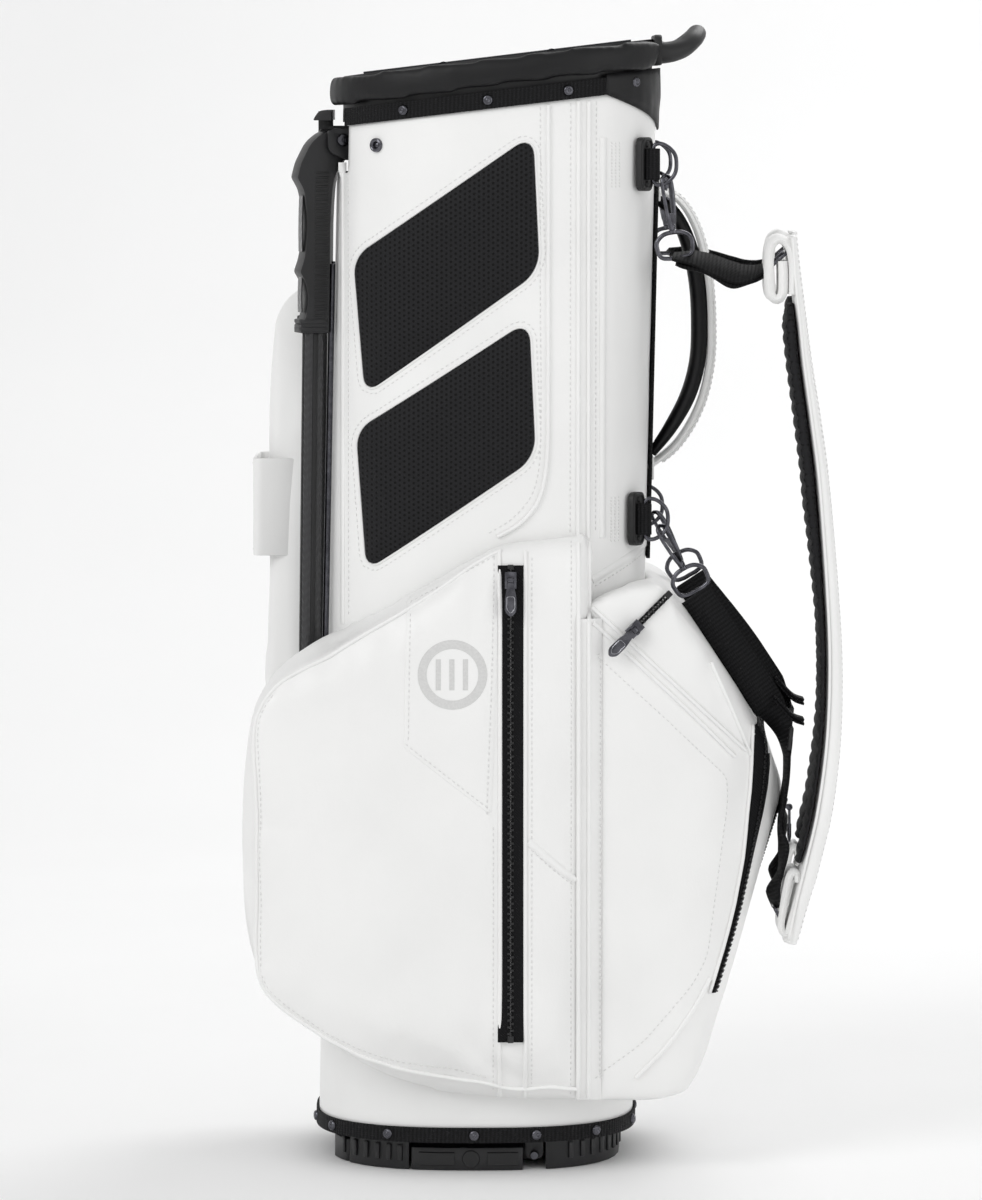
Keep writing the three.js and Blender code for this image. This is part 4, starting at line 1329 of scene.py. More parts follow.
class BAG_OT_cuff(bpy.types.Operator):
    """The divided cuff: moulded ring and dividers, padded roll, riveted binding, crumpled gusset and lift handle"""

    bl_idname = "bag.cuff"
    bl_label = "Cuff"

    def execute(self, context):
        padding, hardware = context.scene.bag_padding, context.scene.bag_hardware
        ring = finished(
            "divider_ring", softened("divider_cuff", 0.9), "plastic", "bag", 40,
            ["divider_cuff"],
        )
        ring.data.validate()

        roll = finished("cuff_roll", merged_copy("cuff_pad"), "cuff", "bag", 180, ["cuff_pad"])
        stuffed(roll, 4.5, padding.pressure * 1.5, padding.cuff_swell / MM, None, ease=5)
        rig.padded(roll, fill=0.85)

        # The notch for the leg bracket leaves the binding open on the leg side.
        turns = even_turns(170, -math.pi + 0.42, math.pi - 0.42)
        band = wall_band(-3, 10.5, 0.5, 1.6, turns, closed=False)
        finished("cuff_binding", band, "webbing", "bag", 40, ["cuff_band"])
        bm = bmesh.new()
        tube_turns = even_turns(160, -math.pi + 0.5, math.pi - 0.5)
        for k in (14, 30, 45, 60, 100, 115, 130, 146):
            spot = plan_point(tube_turns[k], TOP_Z, 2.1)
            spot.z = mouth_z(spot.x, 4)
            out = Vector((spot.x - LEAN * TOP_Z, spot.y * 1.3, 0))
            merge_into(bm, placed(rivet(hardware.rivet_radius / MM), spot, out))
        finished("cuff_rivets", bm, "gunmetal", "bag", 40)

        def drop(a):
            return -2 - 34 * max(0.0, 1 - abs(a) / 0.95) ** 0.85
        gusset = wall_band(drop, 13, 0.9, 1.3, even_turns(90, -0.95, 0.95), closed=False, bulge=0.7, crumple=1.1)
        finished("cuff_gusset", gusset, "cuff", "bag", 180)

        # Fleece rolled over the dividers.
        tops = bmesh.new()
        for start, end in (
            ((-88, 0), (124, 0)), ((-24, -88), (-24, 88)), ((60, -90), (60, 90)),
        ):
            path = respaced([Vector((*start, mouth_z(start[0], 34.5))), Vector((*end, mouth_z(end[0], 34.5)))], 8)
            merge_into(tops, bar(path, 4.2, 12, flat=0.8))
        fleece = finished("divider_tops", tops, "tri_cloth", "bag", 60)
        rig.padded(fleece, fill=0.7)

        arc = smooth_path([
            (143, -43, 879), (150, -42, 878), (162, -36, 881), (171.5, -24, 888), (175.5, 0, 893),
            (171.5, 24, 888), (162, 36, 881),
            (150, 42, 878), (143, 43, 879),
        ], 3)
        handle = bar(arc, lambda s: 9.4 - 1.6 * math.sin(math.pi * s), 20, flat=0.92)
        merge_into(
            handle,
            eased(prism(rounded([(-51, 868, 6), (51, 868, 6), (51, 892, 8), (-51, 892, 8)], 3), "x", 141, 147), 1.2, 2),
        )
        finished("lift_handle_loop", handle, "dark_plastic", "bag", 50, ["lift_handle"])
        screws = bmesh.new()
        for y in (-30, 30):
            merge_into(screws, placed(rivet(3.4), Vector((147, y, 880)), Vector((1, 0, 0))))
        finished("lift_handle_screws", screws, "gunmetal", "bag", 40)

        stud = merge_into(turned([
            (2.4, 1.2), (3.1, 2.4), (4.2, 2.8), (5.3, 2.2), (5.6, 0.6), (5.4, -1), (2.4, -1), (2.4, 1.2),
        ], 24), turned([(0, 1.0), (1.6, 0.9), (2.5, 0.2), (2.5, -1), (0, -1)], 16))
        spot, out = Skin(BAG["tube"]).near(-76, 806, 0.2)
        finished("towel_stud", placed(stud, spot, out), "gunmetal", "bag", 40)
        return {"FINISHED"}


class BAG_OT_base(bpy.types.Operator):
    """The moulded base with its hinged foot plate, and the riveted hem above it"""

    bl_idname = "bag.base"
    bl_label = "Base"

    def execute(self, context):
        hardware = context.scene.bag_hardware
        finished("base_moulding", softened("base_shell", 1.4), "plastic", "bag", 40, ["base_shell"])
        finished("foot_plate_moulding", softened("foot_plate", 1.2), "plastic", "foot_plate", 40, ["foot_plate"])
        repaint("gunmetal", "foot_plate_pin")

        hem = wall_band(*HEM, 0.5, 1.8, even_turns(180), tilted=False)
        finished("base_hem", hem, "webbing", "bag", 40, ["base_band"])
        rivets = bmesh.new()
        turns = even_turns(14)
        for a in turns:
            spot = plan_point(a + 0.14, FABRIC_Z, 2.3)
            merge_into(rivets, placed(rivet(hardware.rivet_radius / MM), spot, Vector((spot.x, spot.y * 1.3, 0))))
        finished("base_rivets", rivets, "gunmetal", "bag", 40)

        # Raised panels and grip ribs moulded on the base and the foot plate.
        ribs = bmesh.new()
        for a in [0.12 * k for k in range(-8, 9)]:
            spot = plan_point(a, 9, -10)
            way = Vector((spot.x, spot.y * 1.3, 0)).normalized()
            if spot.x < 62:
                continue
            merge_into(
                ribs, placed(block(-2.2, 2.2, -6.5, 6.5, -1, 1.3, 0.8), spot + Vector((0, 0, 5)), way, up=(0, 0, 1)),
            )
        for y in (-1, 1):
            for x in range(-104, -58, 9):
                spot = Vector((x, y * tube_y(x, 9, -10), 13))
                way = Vector((x * 0.9, spot.y, 0)).normalized()
                merge_into(ribs, placed(block(-2.2, 2.2, -6.5, 6.5, -1, 1.3, 0.8), spot, way, up=(0, 0, 1)))
        finished("base_ribs", ribs, "plastic", "bag", 40)
        plate = bmesh.new()
        for y in (-1, 1):
            for low, high in ((-44, -16), (10, 34)):
                path = [Vector((x, y * (tube_y(x, 9, -10) + 0.2), 9)) for x in range(low, high + 1, 4)]
                merge_into(plate, strap(path, Vector((0, 0, 5.5)), 1.8))
            disc = placed(
                turned([(0, 1), (6.5, 1), (7, 0.4), (7, -1), (0, -1)], 32), Vector((-3, y * tube_y(-3, 9, -10), 9)),
                Vector((0, y, 0)),
            )
            merge_into(plate, disc)
        finished("foot_plate_panels", plate, "dark_plastic", "foot_plate", 40)
        return {"FINISHED"}


# ---------------------------------------------------------------- legs
LEG_PLACE = (
    Matrix.Translation((-108, -32, 809.6)) @ Matrix.Rotation(math.radians(16), 4, "Z") @ Matrix.Rotation(0.014, 4, "Y")
)


def leg_piece(bm):
    """Carries a bmesh from the near leg's own frame, whose origin is on its pin, to the bag."""
    bmesh.ops.transform(bm, matrix=LEG_PLACE, verts=bm.verts)
    return bm


def both_sides(name, make, finish, body, smooth=40, replaces=""):
    """A piece on each side; body and replaces may hold {} for the side's name."""
    for side, sign in SIDES:
        finished(
            f"{side}_{name}", on_side(make(), sign), finish, body.format(side), smooth,
            [replaces.format(side)] if replaces else (),
        )


class BAG_OT_legs(bpy.types.Operator):
    """The bracket, and on each side the ribbed casting, the braided leg tube, the rubber foot and the push rod"""

    bl_idname = "bag.legs"
    bl_label = "Legs"

    def execute(self, context):
        finished("leg_bracket_moulding", softened("leg_bracket", 0.8), "plastic", "bag", 40, ["leg_bracket"])
        both_sides(
            "leg_head", lambda: softened("near_leg_casting", 1.3, 3, 35), "plastic", "{}_leg", 40, "{}_leg_casting",
        )

        def ribs():
            bm = bmesh.new()
            for k in range(34):
                z = -26 - 3.5 * k
                # The ribbed field lies on both cheeks of the head, beside its smooth outer edge.
                for y in (-11.2, 11.2):
                    merge_into(bm, block(-20.5, -9.6, y - 0.7, y + 0.7, z - 0.9, z + 0.9, 0.5, 1))
            return leg_piece(bm)
        both_sides("leg_ribs", ribs, "dark_plastic", "{}_leg")

        def collar():
            bm = bmesh.new()
            grow = 0.9
            left = -31.6 - grow * 0.2
            for z in (-143, -149):
                outline = rounded([
                    (left, -11 - grow, 4), (-7.4, -11 - grow, 4), (-7.4, 11 + grow, 4), (left, 11 + grow, 4),
                ], 3)
                merge_into(bm, eased(prism(outline, "z", z - 1.6, z + 1.6), 0.7, 2))
            return leg_piece(bm)
        both_sides("leg_collar", collar, "plastic", "{}_leg")

        def insets():
            bm = bmesh.new()
            for low, high in ((-88, -44), (-136, -108)):
                path = [
                    Vector(
                        (-29.0 - 0.9 * math.sin(math.pi * (z - low) / (high - low)) * 0.4, 0, z)
                    ) for z in range(low, high + 1, 4)
                ]
                merge_into(bm, strap(path, Vector((0, 6, 0)), 1.0))
            return leg_piece(bm)
        both_sides("leg_insets", insets, "carbon", "{}_leg")

        def leg_tube():
            outline = rounded([(-26, -7, 5), (-10, -7, 5), (-10, 7, 5), (-26, 7, 5)], 2.2)
            levels = [-650 + 497.6 * i / 60 for i in range(61)]
            return leg_piece(loft([[Vector((p.x, p.y, z)) for p in outline] for z in levels]))
        both_sides("leg_braided_tube", leg_tube, "carbon", "{}_leg", 40, "{}_leg_tube")

        def spine():
            bm = bmesh.new()
            for y in (-7.1, 7.1):
                merge_into(bm, block(-20.0, -16.0, y - 0.9, y + 0.9, -640, -152, 0.7, 2))
            for x in (-26, -10):
                merge_into(bm, block(x - 0.7, x + 0.7, -2.2, 2.2, -640, -152, 0.6, 2))
            return leg_piece(bm)
        both_sides("leg_spines", spine, "dark_plastic", "{}_leg")

        def foot():
            return softened("near_leg_foot", 2.2, 3, 30)
        both_sides("leg_rubber_foot", foot, "rubber", "{}_leg", 40, "{}_leg_foot")

        def tread():
            bm = bmesh.new()
            for k in range(5):
                merge_into(
                    bm, block(-30.6 + 0.8 * k, -8.6 + 0.1 * k, -10.7, 10.7, -657 - 4.5 * k, -655 - 4.5 * k, 0.6, 1),
                )
            return leg_piece(bm)
        both_sides("leg_foot_tread", tread, "rubber", "{}_leg")

        def wall_x(z):
            return -TUBE_HALF_X + LEAN * z

        def rod():
            return bar(smooth_path([
                (-104, -34, 13), (-103, -34, 90), (-103, -34, 160), ((-104 + wall_x(230)) / 2 - 2, -34, 215),
                (
                    wall_x(270) - 1.5, -34, 270,
                ), (wall_x(340) - 1.5, -34, 340), (wall_x(520) - 1.5, -34, 520), (wall_x(712) - 1.5, -34, 712),
            ], 7), 2.6, 14)
        both_sides("push_rod_wire", rod, "gunmetal", "{}_push_rod", 60, "{}_push_rod")

        screws = bmesh.new()
        for _, sign in SIDES:
            for y in (-17.2, 17.2):
                head = merge_into(
                    turned([(0, 1.2), (1.6, 1.2), (1.9, 1.9), (4.2, 1.7), (5.0, 0.6), (5.0, -1), (0, -1)], 24),
                    block(-0.5, 0.5, -1.6, 1.6, 1.0, 1.5, 0.1, 1),
                )
                placed(head, Vector((0, y, 0)), Vector((0, math.copysign(1, y), 0)))
                merge_into(screws, on_side(leg_piece(head), sign))
        finished("leg_pin_heads", screws, "gunmetal", "bag", 40)
        repaint("gunmetal", "near_leg_pin", "far_leg_pin")
        repaint("aluminium", "near_stay", "far_stay")
        return {"FINISHED"}


# ---------------------------------------------------------------- zips
def zip_place(top, bottom, out):
    """A zip's own frame: origin at its top, -Z down the tape and -Y out of the surface."""
    up = (Vector(top) - Vector(bottom)).normalized()
    inward = -Vector(out)
    inward = (inward - up * inward.dot(up)).normalized()
    side = inward.cross(up)
    origin = Vector(top) - inward * 1.2
    length = (Vector(top) - Vector(bottom)).length
    return Matrix.Translation(origin) @ Matrix((side, inward, up)).transposed().to_4x4(), length


def face_y(z, top):
    """Where a side pocket's face stands on the near side."""
    return -face_depth(z, top)


ZIPS = {
    "near": ((ZIP_X, face_y(482, 505), 482), (ZIP_X, face_y(112, 505), 112), (0, -1, -22 / 391), 20, 1, 0.0),
    "far": ((ZIP_X, face_y(672, 700), 672), (ZIP_X, face_y(112, 700), 112), (0, -1, -22 / 586), 20, -1, 0.0),
    "ball": ((243.1, -52, 296), (192.7, -52, 139), (190, 0, -61), 16, 1, math.atan2(61, 190)),
    "valuables": ((116, -130.5, 424), (152, -128.1, 460), (0.06, -1, 0), 9, 1, math.pi),
}


class BAG_OT_zips(bpy.types.Operator):
    """Each zip's tape, coil, end stops, slider and puller"""

    bl_idname = "bag.zips"
    bl_label = "Zips"

    def execute(self, context):
        pitch = context.scene.bag_hardware.tooth_pitch / MM
        for name, (top, bottom, out, width, sign, hang) in ZIPS.items():
            place, length = zip_place(top, bottom, out)

            def carried(bm):
                bmesh.ops.transform(bm, matrix=place, verts=bm.verts)
                return on_side(bm, sign)

            seen = 5.0 if name == "valuables" else width
            tape = bmesh.new()
            for side in (-1, 1):
                path = [Vector((side * (seen / 4 + 0.3), 0.1, -z)) for z in [length * i / 60 for i in range(61)]]
                merge_into(tape, strap(path, Vector((seen / 4 - 0.3, 0, 0)), 1.3))
            finished(f"{name}_zip_cloth", carried(tape), "zip_tape", "bag", 40, [f"{name}_zip_tape"])
            teeth = bmesh.new()
            count = int(length / pitch)
            for k in range(1, count):
                side = 1 if k % 2 else -1
                made = bmesh.ops.create_cube(teeth, size=1)["verts"]
                bmesh.ops.scale(teeth, vec=(3.2, 1.5, pitch * 0.62), verts=made)
                bmesh.ops.translate(teeth, vec=(side * 0.9, -0.9, -k * pitch), verts=made)
            merge_into(teeth, block(-2.4, 2.4, -2.2, 0.4, -length - 0.5, -length + 5, 0.6))
            merge_into(teeth, block(-2.4, 2.4, -1.8, 0.4, -3.0, 0.6, 0.6))
            finished(f"{name}_zip_coil", carried(teeth), "tooth", "bag", 40)

            finished(
                f"{name}_zip_slide", softened(
                    f"{name}_zip_slider", 0.7, 3, 40,
                ), "gunmetal", f"{name}_zip_slider", 40, [f"{name}_zip_slider"],
            )
            finished(
                f"{name}_zip_pull", softened(
                    f"{name}_zip_puller", 0.45,
                ), "gunmetal", f"{name}_zip_puller", 40, [f"{name}_zip_puller"],
            )
            # A raised rim and a grip window on the puller's face.
            bar_y = -8.9
            rim = bmesh.new()
            drop = rounded([(-3.0, -19, 1.5), (3.0, -19, 1.5), (3.2, -28.5, 2), (0, -32, 1), (-3.2, -28.5, 2)], 1.2)
            for y in (bar_y - 1.05, bar_y + 1.05):
                merge_into(rim, bar([Vector((p.x, y, p.y)) for p in drop], 0.5, 6, closed=True))
            turn = (
                Matrix.Translation((0, bar_y, -11)) @ Matrix.Rotation(-hang, 4, "X")
                @ Matrix.Translation((0, -bar_y, 6))
            )
            bmesh.ops.transform(rim, matrix=turn, verts=rim.verts)
            finished(f"{name}_zip_pull_rim", carried(rim), "bright", f"{name}_zip_puller", 60)
        return {"FINISHED"}


# ---------------------------------------------------------------- handle, rings, hooks and carry straps
STRAP_Y = -73.2
TAB_TURN = math.radians(-28.8)
RING_LEVELS = {"lower": 513.0, "upper": 791.0}
RING_LINE = [(0, -13), (0, 0), (0, 13), (3, 16), (10, 14.5), (16.5, 8), (18, 0), (16.5, -8), (10, -14.5), (3, -16)]
HOOKS = {"upper": ((149.7, 776.5), -8.0, 38.0), "lower": ((147.8, 502.5), -30.0, 32.0)}


def in_plane(points, y=0.0):
    """Points (x, z) stood in an upright plane at y."""
    return [Vector((x, y, z)) for x, z in points]


def pillow(path, thick, half, steps=22, square=0.55):
    """A crowned band along a path in X and Z; thick(share, run) is how far it stands out, and half its half width."""
    ways = tangents(path)
    stations, run = [], 0.0
    for i, (p, way) in enumerate(zip(path, ways)):
        run += (p - path[i - 1]).length if i else 0.0
        share = i / (len(path) - 1)
        out = way.cross(Vector((0, 1, 0))).normalized()
        rise, wide = thick(share, run), half(share, run)
        ring = []
        for k in range(steps):
            a = 2 * math.pi * k / steps
            c, s = math.cos(a), math.sin(a)
            ring.append(
                p + Vector((0, wide * math.copysign(abs(c) ** square, c), 0))
                + out * (rise / 2) * (1 + math.copysign(abs(s) ** 0.8, s))
            )
        stations.append(ring)
    return loft(stations)


def table(share, stops):
    """A value that runs evenly between stops of (share, value)."""
    for (a, low), (b, high) in zip(stops, stops[1:]):
        if share <= b:
            return low + (high - low) * max(0.0, share - a) / (b - a)
    return stops[-1][1]


def stretched(bm, sign):
    """The far strap hangs a little further out, so its pieces reach on from the hooks."""
    if sign < 0:
        for v in bm.verts:
            reach = max(0.0, min(1.0, (v.co.x - 165) / 60))
            v.co.x += 8.0 * reach * reach * (3 - 2 * reach)
    return on_side(bm, sign)


class BAG_OT_grab_handle(bpy.types.Operator):
    """The grab handle: a black padded grip under a stitched white cover, and the black strip behind it"""

    bl_idname = "bag.grab_handle"
    bl_label = "Grab handle"

    def execute(self, context):
        length = context.scene.bag_leather.stitch_length / MM
        inner = smooth_path(in_plane([
            (142, 764), (157, 753), (169.5, 728), (176.5, 697), (178.5, 663), (177, 633), (169.5, 606),
            (156, 581), (141, 560),
        ]), 3)
        core = bar(inner, lambda s: 6.6 - 3.0 * abs(2 * s - 1) ** 4, 22, up=Vector((0, 1, 0)), flat=2.15)
        grip = finished("grab_handle_grip", core, "cuff", "bag", 180, ["grab_handle"])
        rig.padded(grip, fill=0.8)
        outer = smooth_path(in_plane([
            (140.5, 770), (161, 762), (176, 738), (184.6, 702), (187.4, 663), (186, 630), (178, 598),
            (161, 569), (137.5, 549),
        ]), 3)
        cover = strap(outer, Vector((0, 16, 0)), 4.4, 0.5)
        ways = tangents(outer)
        raised_strip = [p + w.cross(Vector((0, -1, 0))) * -2.9 for p, w in zip(outer, ways)]
        merge_into(cover, strap(raised_strip[4:-4], Vector((0, 9.5, 0)), 2.6, 0.5))
        finished("grab_handle_cover", cover, "leather", "bag", 60)
        rows = bmesh.new()
        for y in (-13.2, 13.2, -7.4, 7.4):
            lift = -2.3 if abs(y) > 10 else -4.3
            outs = [w.cross(Vector((0, -1, 0))) * -1 for w in ways]
            path = [p + o * -lift + Vector((0, y, 0)) for p, o in zip(outer, outs)]
            merge_into(rows, stitches(path[4:-4], outs[4:-4], length))
        finished("grab_handle_stitches", rows, "white_thread", "bag", 180)

        back = [Vector((TUBE_HALF_X + LEAN * z + 1.6, 0, z)) for z in range(478, 792, 8)]
        finished("spine_strip", strap(back, Vector((0, 24, 0)), 3.0, 0.5), "webbing", "bag", 60)
        boxes = bmesh.new()
        for z in (770, 549):
            x = TUBE_HALF_X + LEAN * z + 3.4
            merge_into(boxes, block(x - 1, x + 1.4, -17, 17, z - 9, z + 9, 0.9, 2))
        finished("grab_handle_roots", boxes, "leather", "bag", 50)
        return {"FINISHED"}


class BAG_OT_anchors(bpy.types.Operator):
    """The moulded tabs on the tube with their webbing loops, and the D-rings and snap hooks they carry"""

    bl_idname = "bag.anchors"
    bl_label = "Strap anchors"

    def execute(self, context):
        hardware = context.scene.bag_hardware
        for level, z in RING_LEVELS.items():
            seat = Matrix.Translation((121.9 + LEAN * z, -72.6, z)) @ Matrix.Rotation(TAB_TURN, 4, "Z")
            ring_at = Vector((122.95 + LEAN * z, -73.18, z))
            (hook_x, hook_z), tilt, reach = HOOKS[level]
            for side, sign in SIDES:
                tab = softened(f"near_{level}_ring_tab", 0.9, 3, 35)
                rim = rounded([(-8.3, -19.3, 6), (8.3, -19.3, 6), (8.3, 19.3, 6), (-8.3, 19.3, 6)], 2)
                raised_rim = bar([Vector((-4.3, p.x, p.y)) for p in rim], 1.1, 8, closed=True)
                for end in (-1, 1):
                    merge_into(raised_rim, placed(rivet(2.3), Vector((-4.3, 0, 15.2 * end)), Vector((1, 0, 0))))
                bmesh.ops.transform(raised_rim, matrix=seat, verts=raised_rim.verts)
                merge_into(tab, raised_rim)
                finished(
                    f"{side}_{level}_tab", on_side(tab, sign), "dark_plastic", "bag", 40,
                    [f"{side}_{level}_ring_tab"],
                )
                turn = [(-4.4, 3.9), (1, 3.9), (4.4, 3.0), (6.2, 0), (4.4, -3.0), (1, -3.9), (-4.4, -3.9)]
                wrap = strap(smooth_path([Vector((a, b, 0)) for a, b in turn], 1.5), Vector((0, 0, 12.3)), 1.1)
                bmesh.ops.transform(wrap, matrix=seat, verts=wrap.verts)
                finished(
                    f"{side}_{level}_tab_loop", on_side(wrap, sign), "webbing", "bag", 50,
                )
                ring = bar(
                    [ring_at + p for p in smooth_path(in_plane(RING_LINE), 1.6, closed=True)][:-1], 1.6,
                    hardware.hardware_sides, closed=True,
                )
                finished(
                    f"{side}_{level}_d_ring", on_side(ring, sign), "gunmetal", f"{side}_strap", 60,
                    [f"{side}_{level}_ring"],
                )
                hook = self.hook(reach, hardware.hardware_sides)
                spin = Matrix.Translation((hook_x, STRAP_Y, hook_z)) @ Matrix.Rotation(math.radians(tilt), 4, "Y")
                bmesh.ops.transform(hook, matrix=spin, verts=hook.verts)
                finished(
                    f"{side}_{level}_snap_hook", on_side(hook, sign), "gunmetal", f"{side}_strap", 50, [
                        f"{side}_{level}_hook"
                    ],
                )
        return {"FINISHED"}

    def hook(self, reach, sides):
        """A snap hook with two prongs, a solid heel, a grooved swivel and an oblong eye below it."""
        d = Vector((0.62, 0.785, 0))
        heel = -reach + 3
        prong = [(0, 5.9), (4.4, 3.8), (5.7, -2), (5.3, -12), (3.4, heel + 4), (1.6, heel)]
        bm = bar(
            [d * q.x + Vector((0, 0, q.z)) for q in smooth_path(in_plane(prong), 1.5)],
            lambda s: 1.7 + 0.7 * math.sin(math.pi * min(1, s * 1.1)), sides, flat=0.85,
        )
        gate = [(-0.3, 5.8), (-4.4, 3.6), (-5.5, -3), (-4.9, -13), (-3.2, heel + 4), (-1.4, heel)]
        merge_into(bm, bar([d * p.x + Vector((0, 0, p.z)) for p in smooth_path(in_plane(gate), 1.5)], 1.45, sides))
        wedge = [(-4.1, heel + 11, 1), (4.4, heel + 11, 1), (2.4, heel - 3, 1.2), (-2.4, heel - 3, 1.2)]
        plate = eased(prism(rounded(wedge, 1.5), "y", -1.8, 1.8), 0.7, 2)
        bmesh.ops.rotate(plate, cent=(0, 0, 0), matrix=Matrix.Rotation(math.atan2(d.y, d.x), 3, "Z"), verts=plate.verts)
        merge_into(bm, plate)
        merge_into(bm, placed(turned([
            (0, 4.2), (2.3, 4.2), (2.9, 3.4), (2.9, 1.6), (2.2, 1.0), (2.2, 0.2), (3.1, -0.4), (3.1, -2.6), (0, -3.2),
        ], 20), Vector((0, 0, -reach + 1))))
        top = -reach - 1
        eye = [
            (0, top), (8, top - 1.2), (13.4, top - 6), (14, top - 11), (12, top - 18), (6, top - 20), (0, top - 20),
            (-6, top - 20), (-12, top - 18), (-14, top - 11), (-13.4, top - 6), (-8, top - 1.2),
        ]
        merge_into(bm, bar(smooth_path(in_plane(eye), 1.6, closed=True)[:-1], 1.75, sides, closed=True))
        return bm


class BAG_OT_carry_straps(bpy.types.Operator):
    """The carry straps: webbing from the hooks, folded white ends and a crowned cover over scalloped padding"""

    bl_idname = "bag.carry_straps"
    bl_label = "Carry straps"

    def execute(self, context):
        hardware = context.scene.bag_hardware
        length = context.scene.bag_leather.stitch_length / MM
        middle = smooth_path(in_plane([
            (245, 735), (247, 705), (251, 668), (254.4, 636), (261, 589), (267, 541), (274, 446),
            (275.6, 392), (273.5, 338),
            (266.5, 284), (258.5, 248), (250, 212), (243.5, 180),
        ], STRAP_Y), 1.6)
        cover_thick = [(0, 6), (0.06, 7.2), (0.2, 9), (0.42, 11.5), (0.6, 13.5), (0.8, 15.5), (0.9, 15), (1, 11)]
        pad_path = [p for p in middle if 241 < p.z < 684]

        def scalloped(share, run):
            rise = table(share, [(0, 6), (0.04, 10.5), (0.35, 11), (0.55, 6.8), (0.75, 5.2), (1, 4.6)])
            return -(rise - 1.3 + 1.5 * abs(math.sin(math.pi * run / 11)))

        def soft_half(share, run):
            return 24.2 + 0.9 * abs(math.sin(math.pi * run / 11)) - 6 * max(0, abs(2 * share - 1) - 0.94) / 0.06

        for side, sign in SIDES:
            body = f"{side}_strap"
            cover = pillow(
                middle, lambda s, r: table(s, cover_thick), lambda s, r: 25.0 - 3.5 * max(0.0, (s - 0.94) / 0.06), 26,
            )
            piece = finished(f"{side}_strap_cover", stretched(cover, sign), "leather", body, 180, [f"{side}_strap_pad"])
            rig.padded(piece, fill=0.75)
            padding = pillow(pad_path, scalloped, soft_half, 22, 0.7)
            bmesh.ops.recalc_face_normals(padding, faces=padding.faces)
            piece = finished(f"{side}_strap_padding", stretched(padding, sign), "strap_mesh", body, 180)
            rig.padded(piece, fill=0.6)
            lines = bmesh.new()
            ways = tangents(middle)
            outs = [w.cross(Vector((0, 1, 0))).normalized() for w in ways]
            for edge in (-25.0, 25.0):
                row = [p + o * 2.6 + Vector((0, edge, 0)) for p, o in zip(middle, outs)]
                merge_into(lines, bar(row[::3], 1.15, 8))
            finished(f"{side}_strap_piping", stretched(lines, sign), "leather", body, 180)
            rows = bmesh.new()
            count = len(middle) - 1
            for edge in (-18.5, 18.5):
                row = [
                    p + o * (
                        table(i / count, cover_thick) * 0.5 * (1 + (1 - (18.5 / 25) ** (1 / 0.55 * 2)) ** 0.4)
                    ) + Vector((0, edge, 0))
                    for i, (p, o) in enumerate(zip(middle, outs))
                ]
                merge_into(rows, stitches(row, outs, length))
            finished(f"{side}_strap_stitches", stretched(rows, sign), "white_thread", body, 180)

            folds = bmesh.new()
            top = smooth_path(in_plane([
                (248.5, 690), (248, 716), (245, 728), (238, 733), (231.5, 729), (229.5, 715), (229.5, 701),
                (231, 690), (235.5, 686),
                (239.8, 690), (240.6, 702), (240.2, 716),
            ], STRAP_Y), 2)
            merge_into(folds, strap(top, Vector((0, 23.5, 0)), 7.2, 0.45))
            low = smooth_path(in_plane([
                (254, 214), (249, 196), (245.5, 187), (241.5, 190), (242.5, 204), (246, 224), (249, 234),
                (253, 235), (254.5, 228),
            ], STRAP_Y), 2)
            merge_into(folds, strap(low, Vector((0, 22.5, 0)), 5.4, 0.45))
            finished(f"{side}_strap_folds", stretched(folds, sign), "leather", body, 70)

            webbing = bmesh.new()
            upper = smooth_path(in_plane([
                (155, 719), (161, 718.5), (172, 717.5), (189, 711.5), (206, 705.5), (218, 706), (227, 710), (232, 713),
            ], STRAP_Y), 3)
            turns = [
                Vector((0.1, math.cos(t), math.sin(t))) * 12.3
                for t in (
                    table(
                        i / (len(upper) - 1), [(0, 0.18), (0.35, 0.62), (0.62, 0.72), (0.85, 0.4), (1, 0.1)],
                    ) for i in range(len(upper))
                )
            ]
            merge_into(webbing, strap(upper, turns, 2.2))
            under = [p + Vector((0, 0.6, -3.0 - 1.3 * math.sin(i * 0.55))) for i, p in enumerate(upper[1:-2])]
            merge_into(webbing, strap(under, turns[1:-2], 2.0))
            finished(
                f"{side}_upper_strap_webbing", stretched(webbing, sign), "webbing", body, 60, [f"{side}_upper_webbing"],
            )

            hanging = smooth_path(in_plane([
                (174, 454), (181, 443.5), (198, 418.5), (219, 387), (235, 362), (244.5, 343), (246, 314),
                (243, 286), (241, 271),
                (244, 252), (241.5, 233), (236, 221), (238.5, 205),
            ], STRAP_Y), 3)
            twist = []
            for p in hanging:
                flat = table(
                    -p.z,
                    [
                        (-460, 1.0), (-366, 1.0), (-326, 0.16), (-271, 0.05), (-252, 0.34), (-234, 0.1), (-221, 0.5),
                        (-204, 0.2),
                    ],
                )
                twist.append(
                    Vector(
                        (0.81 * flat, -math.sqrt(max(0.0, 1 - flat * flat)) if flat < 1 else 0, 0.585 * flat)
                    ).normalized() * 12.4
                )
            webbing = strap(hanging, twist, 2.2)
            # A second dark webbing strip just behind the upper part of the hanging strap is a painted shadow of it.
            shade = [p + Vector((-1.6, 3.0, -1.2)) for p in hanging if p.z > 362]
            merge_into(webbing, strap(shade, twist[:len(shade)], 2.0))
            for drop in (0, 3.2):
                tail = smooth_path(
                    in_plane(
                        [(236, 374 - drop), (243, 366 - drop), (251, 358 - drop), (259, 355 - drop)], STRAP_Y,
                    ), 2.5,
                )
                merge_into(webbing, strap(tail, Vector((0, 11.8, 0)), 1.8))
            finished(
                f"{side}_lower_strap_webbing_and_painted_shadow", stretched(webbing, sign), "webbing", body, 60, [f"{side}_lower_webbing"],
            )

